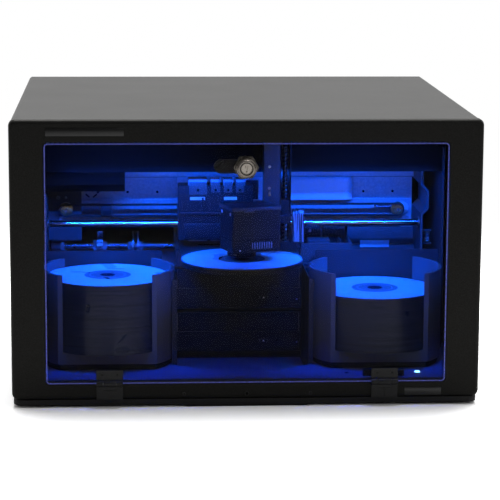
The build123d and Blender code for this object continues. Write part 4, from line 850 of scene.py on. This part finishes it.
class PRINTER_OT_lock(bpy.types.Operator):
    """Painted highlight rings, a painted glint and painted shade on the cam lock, and painted shade in the
    driver recesses of the hinge screws
    """

    bl_idname = "disc_printer.lock"
    bl_label = "Lock and hinge details"

    def barrel(self, centre):
        """Painted highlight rings on the lock's face and on its collar, and a ring of painted shade in the
        groove between plug and barrel.
        """
        # painted highlights: bright steel rings on the rims of the darkened barrel
        rings = Shape().hoop(centre + mm(0, 0.02, 0), "Y", 6.6, 0.22)
        rings.hoop(centre + mm(0, 5.0, 0), "Y", 8.9, 0.35)
        rings.piece("lock_face_highlight_rings", "lock_steel", "door", "lock_nickel")
        # painted shade: a near-black ring in the groove between plug and barrel
        groove = Shape().hoop(centre + mm(0, 0.05, 0), "Y", 5.75, 0.5)
        groove.piece("lock_face_shade_ring", "recess_shade_and_seam_black", "door", "lock_nickel")

    def plug(self, centre):
        """A painted glint along the keyway and round the plug's edge, and painted shade in the cam screw's
        driver recess.
        """
        plug_low, plug_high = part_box("lock_plug")
        face = Vector((centre.x, plug_low.y, centre.z))
        # painted glint: bright steel bars and a ring round the keyway
        rim = Shape()
        for side in (-1, 1):
            rim.block(face + mm(side * 1.05, 0, 0), (-0.22, 0.22), (-0.12, 0.1), (-3.1, 3.1), 0.05)
            rim.block(face + mm(0, 0, side * 3.3), (-1.2, 1.2), (-0.12, 0.1), (-0.25, 0.25), 0.05)
        rim.hoop(face, "Y", 4.7, 0.18)
        rim.piece("keyway_glint", "lock_steel", "lock", "lock_nickel")
        screw = Shape().cross_mark((centre.x, plug_high.y, centre.z), "Y", 3.8)
        screw.piece("cam_screw_recess", "recess_shade_and_seam_black", "lock", "lock_nickel")

    def hinge_screws(self):
        leaf_low, leaf_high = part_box("hinge_door_leaves")
        leaf_middle = 12.5 * MM
        # crosses of painted shade for the driver recesses of the hinge screws
        marks = Shape()
        for x in (leaf_low.x + leaf_middle, leaf_high.x - leaf_middle):
            for side in (-1, 1):
                spot = (x + side * 7.2 * MM, low("door_panel").y - 2.7 * MM, leaf_high.z - 4.2 * MM)
                marks.cross_mark(spot, "Y", 1.9)
        marks.piece("hinge_screw_recesses", "recess_shade_and_seam_black", "door", "hinge_black")

    def execute(self, context):
        centre = Vector((middle("lock_body").x, low("lock_body").y, middle("lock_body").z))
        self.barrel(centre)
        self.plug(centre)
        self.hinge_screws()
        return {"FINISHED"}


class PRINTER_OT_deck(bpy.types.Operator):
    """Floor sheet of the disc well, trim round the power button and the dark lens of the door sensor"""

    bl_idname = "disc_printer.deck"
    bl_label = "Deck details"

    def well_floor(self):
        """The sheet that lies in the disc well, in front of the drives and under them, in the deck's brighter
        bluish colour of painted lamp light.
        """
        a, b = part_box("chute_walls")
        inner_x = b.x / MM - 5.2
        depth = (b.y - a.y) / MM
        sheet = Shape().block((0, a.y, a.z), (-inner_x, inner_x), (-50, depth + 3), (0.05, 0.8), 0.1)
        sheet.piece("well_floor", "deck_sheet_painted_light", "root", "mech_black")

    def execute(self, context):
        self.well_floor()
        button = middle("power_button")
        deck_z = low("left_bin").z - 6.0 * MM
        trim = Shape().hoop((button.x, button.y, deck_z + 0.25 * MM), "Z", 3.6, 0.5)
        trim.piece("button_trim", "lock_steel", "root", "mech_black")
        sensor = Vector((button.x - 68.5 * MM, button.y + 1.7 * MM, deck_z - 0.6 * MM))
        lens = Shape().pin(sensor, "Z", (-0.3, 0.5), 1.65, 0.3)
        lens.piece("sensor_lens", "badge_black", "root", "mech_black")
        rim = Shape().hoop(sensor + mm(0, 0, 0.65), "Z", 2.2, 0.25)
        rim.piece("sensor_rim", "hinge_paint", "root", "mech_black")
        return {"FINISHED"}


class PRINTER_OT_drives(bpy.types.Operator):
    """Eject marks, lamp lenses, pinholes and the fine ribs of the two drive fronts"""

    bl_idname = "disc_printer.drives"
    bl_label = "Drive details"

    def eject_mark(self, name, mark):
        """A triangle over a bar, on the button's face."""
        outline = [mark + mm(-1.0, 0, -0.2), mark + mm(1.0, 0, -0.2), mark + mm(0, 0, 0.8)]
        shape = Shape().loft([outline, [v + mm(0, 0.05, 0) for v in outline]])
        shape.block(mark, (-1.0, 1.0), (0, 0.05), (-0.7, -0.4))
        shape.piece(f"{name}_eject_mark", "blank_label", f"{name}_eject", "drive_black")

    def front(self, name, foot):
        """Lens, pinhole and ribs of one front. foot is the middle of its lower edge."""
        lens = Shape().pin(foot + mm(60, 0, 9.0), "Y", (-0.15, 0.9), 0.75, 0.1)
        lens.piece(f"{name}_drive_lens", "window_edge", "root", "drive_black")
        pinhole = foot + mm(40, 0, 11.0)
        # the pinhole is a rimmed dark disc of painted shade
        hole = Shape().hoop(pinhole, "Y", 0.9, 0.15, 24).pin(pinhole, "Y", (-0.03, 0.1), 0.8)
        hole.piece(f"{name}_pinhole", "recess_shade_and_seam_black", "root", "drive_black")
        ribs = Shape()
        for x0, x1, z in ((46.5, 58.5, 12.4), (-66, 18, 16.0), (34, 66, 16.0), (-66, 66, 3.2)):
            ribs.block(foot, (x0, x1), (-0.25, 0.1), (z, z + 0.7), 0.1)
        ribs.piece(f"{name}_front_ribs", "drive_front", "root", "drive_black")

    def execute(self, context):
        face_y = low("drive_bezels").y
        for name, node in (("lower", "lower_eject_button"), ("upper", "upper_eject_button")):
            key = middle(node)
            self.eject_mark(name, Vector((key.x, low(node).y - 0.03 * MM, key.z)))
            self.front(name, Vector((0, face_y, key.z - 11.0 * MM)))
        return {"FINISHED"}


class PRINTER_OT_printer(bpy.types.Operator):
    """Rails, strips, belt teeth and small plates of the ink-jet mechanism"""

    bl_idname = "disc_printer.printer"
    bl_label = "Printer details"

    def rails(self):
        """The light lip along the top fold, painted shade for the groove under it and for the holes and
        slots, and the stiffening bead.
        """
        plate_low, plate_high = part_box("printer_back_plate")
        width = (plate_high.x - plate_low.x) / MM
        front_corner = Vector((plate_low.x, plate_low.y, plate_high.z))
        lip = Shape().block(front_corner, (0, width), (-0.6, 0.2), (-4.9, 0.3), 0.25)
        lip.piece("top_rail", "zinc_sheet", "root", "steel_bright")
        corner = Vector((plate_low.x, plate_high.y - 1.5 * MM, plate_high.z))
        # painted shade for the groove, the holes and the slots
        cuts = Shape().block(corner, (2, width - 2), (-0.1, 0.05), (-6.6, -5.2))
        for k in range(12):
            cuts.pin(corner + mm(18 + 31 * k, 0, -22), "Y", (-0.1, 0.05), 1.3)
        for k, lean in enumerate((-0.7, 0.7, -0.7)):
            slot = Vector((-162 * MM + k * 8 * MM, corner.y, corner.z - 26 * MM))
            cuts.block(slot, (-2.6, 2.6), (-0.12, 0.05), (-0.5, 1.0), turn=(lean, "Y", slot))
        cuts.piece("back_plate_cuts", "recess_shade_and_seam_black", "root", "steel_bright")
        bead = Shape().block(corner, (6, width - 6), (-0.7, 0), (-31.5, -29.5), 0.4)
        bead.piece("back_plate_bead", "zinc_sheet", "root", "steel_bright")

    def guide_sheet(self, belt_low, belt_high):
        """The folded sheet under the belt, with the carriage's position strip on its lip."""
        lip = Vector((0, belt_high.y + 2.4 * MM, belt_low.z - 5.9 * MM))
        sheet = Shape().block(lip, (-183, 183), (0, 1.0), (0, 5.2), 0.3)
        sheet.block(lip, (-158, 183), (0, 16.6), (0, 1.0), 0.3)
        sheet.piece("belt_guide_sheet", "zinc_sheet", "root", "steel_bright")
        strip = Shape().block(lip, (-180, 182), (-0.5, -0.2), (1.2, 4.4))
        for x in (-176, 178):
            strip.block(lip, (x - 2, x + 2), (-0.7, 0.2), (0.6, 5), 0.2)
        strip.piece("position_strip", "clear_strip", "root", "steel_bright")

    def belt_teeth(self, belt_low, belt_high):
        """Square teeth on the inside of both runs of the belt."""
        pitch, height, thick, root = 2.0, 0.5, 1.2, 0.1
        length, width, rise = (belt_high - belt_low) / MM
        from_end = 9
        shape = Shape()
        for k in range(int((length - 2 * from_end) / pitch)):
            x = from_end + k * pitch
            for z0, z1 in ((thick - root, thick + height), (rise - thick - height, rise - thick + root)):
                shape.block(belt_low, (x, x + pitch / 2), (0.2, width - 0.2), (z0, z1))
        shape.piece("belt_teeth", "belt_rubber", "root", "belt_black")

    def belt_fittings(self, belt_low, belt_high):
        """The guide block on the left and the tensioner arm on the right."""
        front = Vector((0, belt_low.y, (belt_low.z + belt_high.z) / 2))
        plate = (belt_high.y - belt_low.y) / MM + 19.8
        block = Shape().block(front, (-139.6, -128.3), (-3.2, -0.4), (-5, 6), 0.5)
        block.block(front, (-136, -132), (-0.6, plate), (-1, 1))
        for x in (-136.5, -131.4):
            block.pin(front + mm(x, 0, 0.5), "Y", (-3.6, -3.1), 1.3, 0.1)
        block.piece("belt_guide_block", "moulded_black", "root", "mech_black")
        back = Vector((0, belt_high.y + 14 * MM, front.z))
        thick = (0, 1.5)
        arm = Shape().pin(back + mm(177, 0, -1.4), "Y", thick, 6.4, 0.3)
        for z0, z1 in ((-1.6, 0.2), (2.2, 3.6)):
            arm.block(back, (147, 174), thick, (z0, z1), 0.3)
        arm.pin(back + mm(148, 0, 1.0), "Y", thick, 2.9, 0.3)
        arm.block(back, (164, 174), thick, (-1.6, 3.6), 0.3)
        arm.piece("belt_tensioner_arm", "blank_label", "root", "steel_bright")
        pins = Shape()
        for x, z, radius in ((148, 1.0, 1.2), (181, -3.6, 0.9)):
            pins.pin(back + mm(x, 0, z), "Y", (-0.8, 0), radius, 0.1)
        pins.piece("tensioner_pins", "ground_steel", "root", "steel_bright")

    def rod_ends(self):
        """Washers and clips where the guide rod meets its cheeks."""
        a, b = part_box("guide_rod")
        centre = middle("guide_rod")
        left, right = Vector((a.x, centre.y, centre.z)), Vector((b.x, centre.y, centre.z))
        washers = Shape().pin(left, "X", (2.2, 3.4), 6.2, 0.25).pin(right, "X", (-3.4, -2.3), 6.2, 0.25)
        washers.piece("rod_washers", "ground_steel", "root", "steel_bright")
        clips = Shape().hoop(left + mm(4, 0, 0), "X", 3.9, 0.45).hoop(right - mm(4, 0, 0), "X", 3.9, 0.45)
        clips.piece("rod_clips", "hinge_paint", "root", "steel_bright")

    def right_hand_parts(self):
        """Pump blocks in the service tub, the maintenance plate and the panel behind it."""
        a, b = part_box("service_station")
        floor_z = a.z + 8 * MM
        tub = Vector((a.x, b.y - 24 * MM, floor_z))
        pump = Shape().block(tub, (3.6, 23), (0, 6), (0, 23.5), 0.8)
        pump.block(tub, (25, 48.4), (0, 6), (0, 24.5), 0.8)
        pump.block(tub, (28, 45), (-1, 0.2), (4, 18), 0.5)
        pump.piece("pump_blocks", "moulded_black", "root", "mech_black")
        line = Shape().block(tub, (23.7, 24.4), (1, 2), (0, 20))
        line.pin(tub + mm(12, 0, 18), "Y", (-0.6, 0.1), 1.6, 0.2)
        line.piece("pump_tube", "clear_strip", "root", "mech_black")
        back = Vector((0, b.y, floor_z))
        plate = Shape().block(back, (131.3, 162), (-8.9, -8.2), (-2.6, 5), 0.3)
        plate.piece("maintenance_plate", "blank_label", "root", "mech_grey")
        panel_end = (b.x - a.x) / MM - 0.3
        panel = Shape().block((a.x, b.y, floor_z), (53.5, panel_end), (-1.6, -0.4), (0.1, 18), 0.3)
        for x in (130, 148, 166):
            panel.block(back, (x, x + 9), (-2.0, -1.4), (9, 14), 0.2)
        panel.piece("side_panel", "moulded_grey", "root", "mech_grey")

    def feed_collars(self):
        """Collars on the feed shaft: where each starts and ends from the shaft's left end, and its radius."""
        centre = middle("feed_shaft")
        end = Vector((low("feed_shaft").x, centre.y, centre.z))
        shape = Shape()
        for x0, x1, radius in ((10, 14, 4.6), (44, 47.6, 6.4), (54, 58, 5.0), (80, 84, 4.6), (92, 96, 4.6)):
            shape.pin(end, "X", (x0, x1), radius, 0.3)
        shape.piece("feed_collars", "blank_label", "feed", "drive_steel")

    def execute(self, context):
        belt_low, belt_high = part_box("carriage_belt")
        self.rails()
        self.guide_sheet(belt_low, belt_high)
        self.belt_teeth(belt_low, belt_high)
        self.belt_fittings(belt_low, belt_high)
        self.rod_ends()
        self.right_hand_parts()
        self.feed_collars()
        return {"FINISHED"}


class PRINTER_OT_carriage(bpy.types.Operator):
    """Cartridge lids, blank labels, ribs, belt clamp and ribbon clamp of the print carriage"""

    bl_idname = "disc_printer.carriage"
    bl_label = "Carriage details"

    def lids(self, top):
        """A lid over each cartridge: where it starts and ends from the left, and how far it comes down."""
        lids, holes = Shape(), Shape()
        lid_top = 3.5
        for x0, x1, drop in ((11.1, 29.3, 12.4), (33.4, 42.5, 10.3), (46.6, 54.7, 10.3), (58.7, 66.9, 10.3)):
            lids.block(top, (x0, x1), (-0.9, -0.05), (lid_top - drop, lid_top), 0.4)
            lids.block(top, (x0, x1), (-0.9, 2.4), (lid_top - 0.6, lid_top), 0.2)
            # painted shade for each lid's finger hole
            holes.pin(top + mm((x0 + x1) / 2, 0, -4.4), "Y", (-0.95, -0.8), 1.3, sides=24)
        lids.piece("cartridge_lids", "moulded_grey", "carriage", "ink_shell")
        holes.piece("lid_finger_holes", "recess_shade_and_seam_black", "carriage", "ink_shell")
        labels = Shape()
        for x0, x1 in ((12.1, 27.2), (46.5, 59.7)):
            labels.block(top, (x0, x1), (-0.3, -0.02), (-14.6, -11.5), 0.1)
        labels.piece("carriage_labels", "blank_label", "carriage", "mech_black")

    def front_ribs(self, foot, top, width, height):
        """Upright ribs, two cross bars and a short middle rib on the carriage's front."""
        ribs = Shape()
        for x in (3, 8.5, 23, 31, 44, 57, 70):
            ribs.block(foot, (x, x + 1.4), (-0.9, 0.1), (20, height - 16), 0.3)
        ribs.block(foot, (2, width - 6), (-2.4, 0.1), (26, 28.4), 0.5)
        ribs.block(foot, (6, width - 8), (-1.8, 0.1), (1.5, 17), 1.2)
        ribs.block(top, (24, 26), (-2.2, 0.1), (-22, -12), 0.3)
        ribs.piece("carriage_front_ribs", "moulded_black", "carriage", "mech_black")

    def clamps(self, a, b):
        """Two jaws over the belt's upper run, and the clamp that takes the ribbon."""
        belt = high("carriage_belt")
        back = Vector(((a.x + b.x) / 2, b.y, belt.z))
        across = (-0.8, (belt.y - b.y) / MM + 0.6)
        clamp = Shape()
        for jaw in ((0.1, 2.4), (-4, -1.8)):
            clamp.block(back, (-8, 8), across, jaw, 0.4)
        clamp.piece("belt_clamp", "moulded_black", "carriage", "mech_black")
        flex_low, flex_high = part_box("carriage_flex")
        end = Vector((b.x, flex_low.y, flex_low.z))
        width = (flex_high.z - flex_low.z) / MM
        rod_side = (middle("guide_rod").y - flex_low.y) / MM + 19
        ribbon = Shape().block(end, (-6, -1), (rod_side, 0.4), (3, width - 3), 0.6)
        ribbon.block(end, (-4, 9), (-1.6, -0.1), (1, width - 1), 0.5)
        ribbon.piece("ribbon_clamp", "moulded_black", "carriage", "mech_black")

    def execute(self, context):
        a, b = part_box("carriage_body")
        width, _, height = (b - a) / MM
        top = Vector((a.x, a.y, b.z))
        self.lids(top)
        self.front_ribs(a, top, width, height)
        self.clamps(a, b)
        return {"FINISHED"}


class PRINTER_OT_gripper(bpy.types.Operator):
    """Lid edge, catch, comb, seams, rivets and nose ring of the gripper head, and the column's hook"""

    bl_idname = "disc_printer.gripper"
    bl_label = "Gripper details"

    def head(self, axis_y, base_z):
        """Details of the head, which stands turned about its front left corner."""
        corner = Vector((-10.4 * MM, axis_y - 30 * MM, 0))
        turn = (math.radians(18.0), "Z", corner)
        top = corner + Vector((0, 0, base_z + 50.8 * MM))
        foot = top - mm(0, 0, 44)
        lid = Shape().block(top, (-0.5, 50.5), (-0.5, 1.2), (-3.0, 0.3), 0.4, turn)
        lid.block(top, (-0.5, 1.2), (-0.5, 36.4), (-3.0, 0.3), 0.4, turn)
        lid.block(top, (12, 22), (-1.1, 0.3), (-4.6, -2.4), 0.3, turn)
        lid.piece("head_lid_edge", "moulded_grey", "gripper", "mech_black")
        comb = Shape()
        for k in range(9):
            x = 20.2 + 2.5 * k
            comb.block(foot, (x, x + 1.1), (0.2, 0.9), (3.3, 9.6), 0.1, turn)
        comb.piece("head_contact_comb", "clear_strip", "gripper", "mech_black")
        seam = Shape().block(foot, (2, 48), (-0.03, 0.2), (12.0, 12.4), 0, turn)
        seam.block(foot, (-0.03, 0.2), (3, 33), (12.0, 12.4), 0, turn)
        seam.block(foot, (17, 46), (-0.03, 0.2), (1.0, 1.4), 0, turn)
        seam.piece("head_seams", "recess_shade_and_seam_black", "gripper", "mech_black")
        rivets = Shape().block(foot, (6.9, 8.3), (-0.35, 0.2), (1.6, 3.0), 0.2, turn)
        for y in (5.0, 28.0):
            rivets.block(top, (-0.6, 0.1), (y, y + 3.0), (-8, -5), 0.4, turn)
        rivets.piece("head_rivets", "blank_label", "gripper", "mech_black")

    def execute(self, context):
        axis_y = middle("gripper_finger_left").y
        base_z = low("gripper_head").z
        self.head(axis_y, base_z)
        ring = Shape().hoop((0, axis_y, base_z + 2.2 * MM), "Z", 14.0, 0.35)
        ring.piece("nose_ring", "ground_steel", "gripper", "mech_black")
        column = low("arm_carriage")
        foot = Vector((column.x, column.y, 0))
        hook = Shape().block(foot, (4.2, 6.6), (-0.5, 0.1), (184.5, 189.5), 0.2)
        for screw_z in (192.5, 214.0, 244.0):
            hook.pin(foot + mm(5.2, 0, screw_z), "Y", (-0.4, 0.1), 1.5, 0.15)
        hook.piece("column_hook", "ground_steel", "arm", "column_aluminium")
        return {"FINISHED"}


class PRINTER_OT_electrics(bpy.types.Operator):
    """Parts on the control board, slots of the power supply and the label on the fan's hub"""

    bl_idname = "disc_printer.electrics"
    bl_label = "Electrical details"

    def board_parts(self):
        """Legs of the processor, a row of header pins and four capacitors."""
        a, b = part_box("control_board")
        top = Vector((a.x, a.y, a.z + 9.6 * MM))
        pitch = 2.2
        pins, cans = Shape(), Shape()
        for k in range(10):
            for x in (12.8, 39.2):
                y = 30 + pitch * k
                pins.block(top, (x - 0.9, x + 0.9), (y, y + 0.8), (0, 1.2))
        for k in range(12):
            x = 63 + pitch * k
            pins.block(top, (x, x + 0.8), (70, 71.5), (0, 5))
        pins.piece("board_pins", "gold_contact", "root", "board_green")
        for k in range(4):
            cans.pin((a.x + (20 + 14 * k) * MM, b.y - 26 * MM, top.z), "Z", (0, 11), 4.2, 0.5)
        cans.piece("board_capacitors", "badge_black", "root", "board_green")

    def supply_slots(self):
        a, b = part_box("power_supply")
        depth = (b.y - a.y) / MM
        # vent slots given as strips of painted shade on the supply's top
        shape = Shape()
        for k in range(9):
            x = 14 + 8 * k
            shape.block((a.x, a.y, b.z), (x, x + 3), (12, depth - 10), (-0.05, 0.05))
        shape.piece("supply_slots", "recess_shade_and_seam_black", "root", "mech_black")

    def fan_hub(self):
        hub = middle("fan_rotor")
        label = Shape().pin((hub.x, high("fan_rotor").y, hub.z), "Y", (-0.05, 0.1), 8)
        label.piece("fan_hub_label", "blank_label", "fan", "drive_black")

    def execute(self, context):
        self.board_parts()
        self.supply_slots()
        self.fan_hub()
        return {"FINISHED"}


class PRINTER_OT_edges(bpy.types.Operator):
    """Breaks the sharp edges of folded, moulded and machined parts"""

    bl_idname = "disc_printer.edges"
    bl_label = "Broken edges"

    def execute(self, context):
        for width, nodes in EDGE_WIDTHS.items():
            for node in nodes:
                weld = NODES[node].modifiers.new("join_faces", "WELD")
                weld.merge_threshold = WELD_GAP
                edge = NODES[node].modifiers.new("broken_edge", "BEVEL")
                edge.width = width * MM
                edge.segments = 2
                edge.limit_method = "ANGLE"
                edge.angle_limit = SHARP_EDGE
                edge.harden_normals = True
        return {"FINISHED"}


class PRINTER_OT_stage(bpy.types.Operator):
    """Pale floor, white surroundings, studio lamps, chamber lamps and the camera"""

    bl_idname = "disc_printer.stage"
    bl_label = "Stage"

    def floor(self, size):
        """White paper that is brighter to the camera than to the printer, and fades out far away."""
        data = bpy.data.meshes.new("floor")
        half = size / 2
        data.from_pydata([(-half, -half, 0), (half, -half, 0), (half, half, 0), (-half, half, 0)],
                         [], [(0, 1, 2, 3)])
        floor = new_object("floor", data)
        material, tree, shader = blank_material("floor_paper")
        ring = effect(tree, "ring", Axis=(0.0, 0.0, 0.0))
        clear = add(tree, "ShaderNodeBsdfTransparent")
        seen = add(tree, "ShaderNodeLightPath").outputs["Is Camera Ray"]
        paper = blend_colour(tree, fine_mask(tree, 0.004), grey(0.90), grey(0.94))
        give(shader, {
            "Base Color": blend_colour(tree, seen, paper, grey(2.3)),
            "Roughness": 0.9,
            "Specular IOR Level": 0.0,
        })
        far = ranged(tree, ring["Radius"], 0.0, 1.0, 0.42, 0.95)
        fade = arithmetic(tree, "MULTIPLY", far, seen)
        mixed = add(tree, "ShaderNodeMixShader", {0: fade, 1: shader.outputs[0], 2: clear.outputs[0]})
        give(tree.nodes["Material Output"], {"Surface": mixed.outputs[0]})
        data.materials.append(material)

    def surroundings(self):
        """White to the camera, softer to the printer, and mirrored only from behind it."""
        world = bpy.data.worlds.new("studio")
        bpy.context.scene.world = world
        world.use_nodes = True
        tree = world.node_tree
        path = add(tree, "ShaderNodeLightPath").outputs
        direct = arithmetic(tree, "MAXIMUM", path["Is Camera Ray"], path["Is Transmission Ray"])
        where = along_axis(tree, add(tree, "ShaderNodeTexCoord").outputs["Generated"], "Y")
        behind = ranged(tree, where, 0.07, 1.0, -0.5, 0.5)
        glossy = arithmetic(tree, "MULTIPLY", path["Is Glossy Ray"], behind)
        diffuse = arithmetic(tree, "MULTIPLY", behind, 0.62)
        soft = arithmetic(tree, "MAXIMUM", glossy, diffuse)
        strength = arithmetic(tree, "MAXIMUM", direct, soft)
        give(tree.nodes["Background"], {"Strength": strength, "Color": (*WHITE, 1.0)})

    def lamp(self, name, place, aim, size, power, colour=WHITE, spread=180):
        """A rectangular lamp whose long side stays level."""
        data = bpy.data.lights.new(name, "AREA")
        data.spread = math.radians(spread)
        data.shape = "RECTANGLE"
        data.size, data.size_y = size
        data.energy = power
        data.color = colour
        back = (Vector(place) - Vector(aim)).normalized()
        level = AXES["Z"].cross(back).normalized()
        turn = Matrix((level, back.cross(level), back)).transposed().to_4x4()
        new_object(name, data).matrix_world = Matrix.Translation(place) @ turn

    def chamber_lamps(self, chamber):
        """The two strips over the door opening, and one under the arm beam for the printer."""
        colour = tuple(chamber.lamp)
        a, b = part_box("led_strips")
        strip_x = 118 * MM
        for side, name in ((-1, "left"), (1, "right")):
            place = Vector((side * strip_x, (a.y + b.y) / 2, a.z - 1.2 * MM))
            self.lamp(f"chamber_lamp_{name}", place, place + mm(0, 68, -80), (2 * (b.x - strip_x), 3 * MM),
                      chamber.lamp_power, colour, 92)
        beam = low("arm_beam")
        place = Vector((10 * MM, beam.y + 6 * MM, beam.z - 2 * MM))
        self.lamp("printer_lamp", place, place + mm(0, 62, -36), (370 * MM, 4 * MM),
                  chamber.printer_lamp_power, colour, 150)

    def camera(self, focal_length):
        """The photograph's viewpoint."""
        yaw, pitch, roll = (math.radians(angle) for angle in (CAMERA_YAW, CAMERA_PITCH, CAMERA_ROLL))
        forward = Vector((math.sin(yaw) * math.cos(pitch), math.cos(yaw) * math.cos(pitch), -math.sin(pitch)))
        level = Vector((math.cos(yaw), -math.sin(yaw), 0.0))
        upright = level.cross(forward)
        right = level * math.cos(roll) + upright * math.sin(roll)
        up = upright * math.cos(roll) - level * math.sin(roll)
        data = bpy.data.cameras.new("photo_camera")
        data.lens = focal_length
        data.sensor_width = SENSOR_WIDTH
        data.clip_start = 0.05
        data.clip_end = 50.0
        camera = new_object("photo_camera", data)
        turn = Matrix((right, up, -forward)).transposed().to_4x4()
        camera.matrix_world = Matrix.Translation(CAMERA_PLACE) @ turn
        bpy.context.scene.camera = camera

    def execute(self, context):
        _, chamber, studio = settings()
        bpy.context.scene.view_settings.view_transform = "Standard"
        self.floor(studio.floor_size)
        self.surroundings()
        self.lamp("overhead", (0.1, 0.25, 1.7), (0, 0, 0.2), (1.3, 1.0), studio.overhead_power)
        self.lamp("front_fill", (0.9, -1.7, 1.0), (0, -0.2, 0.15), (0.8, 0.8), studio.fill_power)
        self.chamber_lamps(chamber)
        self.camera(studio.focal_length)
        return {"FINISHED"}


class PRINTER_PT_panel(bpy.types.Panel):
    """The printer's settings and its building steps"""

    bl_idname = "PRINTER_PT_panel"
    bl_label = "Disc printer"
    bl_space_type = "VIEW_3D"
    bl_region_type = "UI"
    bl_category = "Disc printer"

    def draw(self, context):
        for group in settings():
            box = self.layout.box()
            for name in group.__annotations__:
                box.prop(group, name)
        for step in STEPS:
            self.layout.operator(step.bl_idname)


GROUPS = {"printer_case": CaseSettings, "printer_chamber": ChamberSettings, "printer_studio": StudioSettings}
STEPS = [PRINTER_OT_finishes, PRINTER_OT_case, PRINTER_OT_door, PRINTER_OT_lock, PRINTER_OT_deck,
         PRINTER_OT_drives, PRINTER_OT_printer, PRINTER_OT_carriage, PRINTER_OT_gripper, PRINTER_OT_electrics,
         PRINTER_OT_edges, PRINTER_OT_stage]


def register():
    for cls in [*GROUPS.values(), *STEPS, PRINTER_PT_panel]:
        bpy.utils.register_class(cls)
    for name, cls in GROUPS.items():
        setattr(bpy.types.Scene, name, PointerProperty(type=cls))


def unregister():
    for name in GROUPS:
        delattr(bpy.types.Scene, name)
    for cls in reversed([*GROUPS.values(), *STEPS, PRINTER_PT_panel]):
        bpy.utils.unregister_class(cls)


def main():
    register()
    for step in STEPS:
        group, name = step.bl_idname.split(".")
        getattr(getattr(bpy.ops, group), name)()


if __name__ == "__main__":
    main()
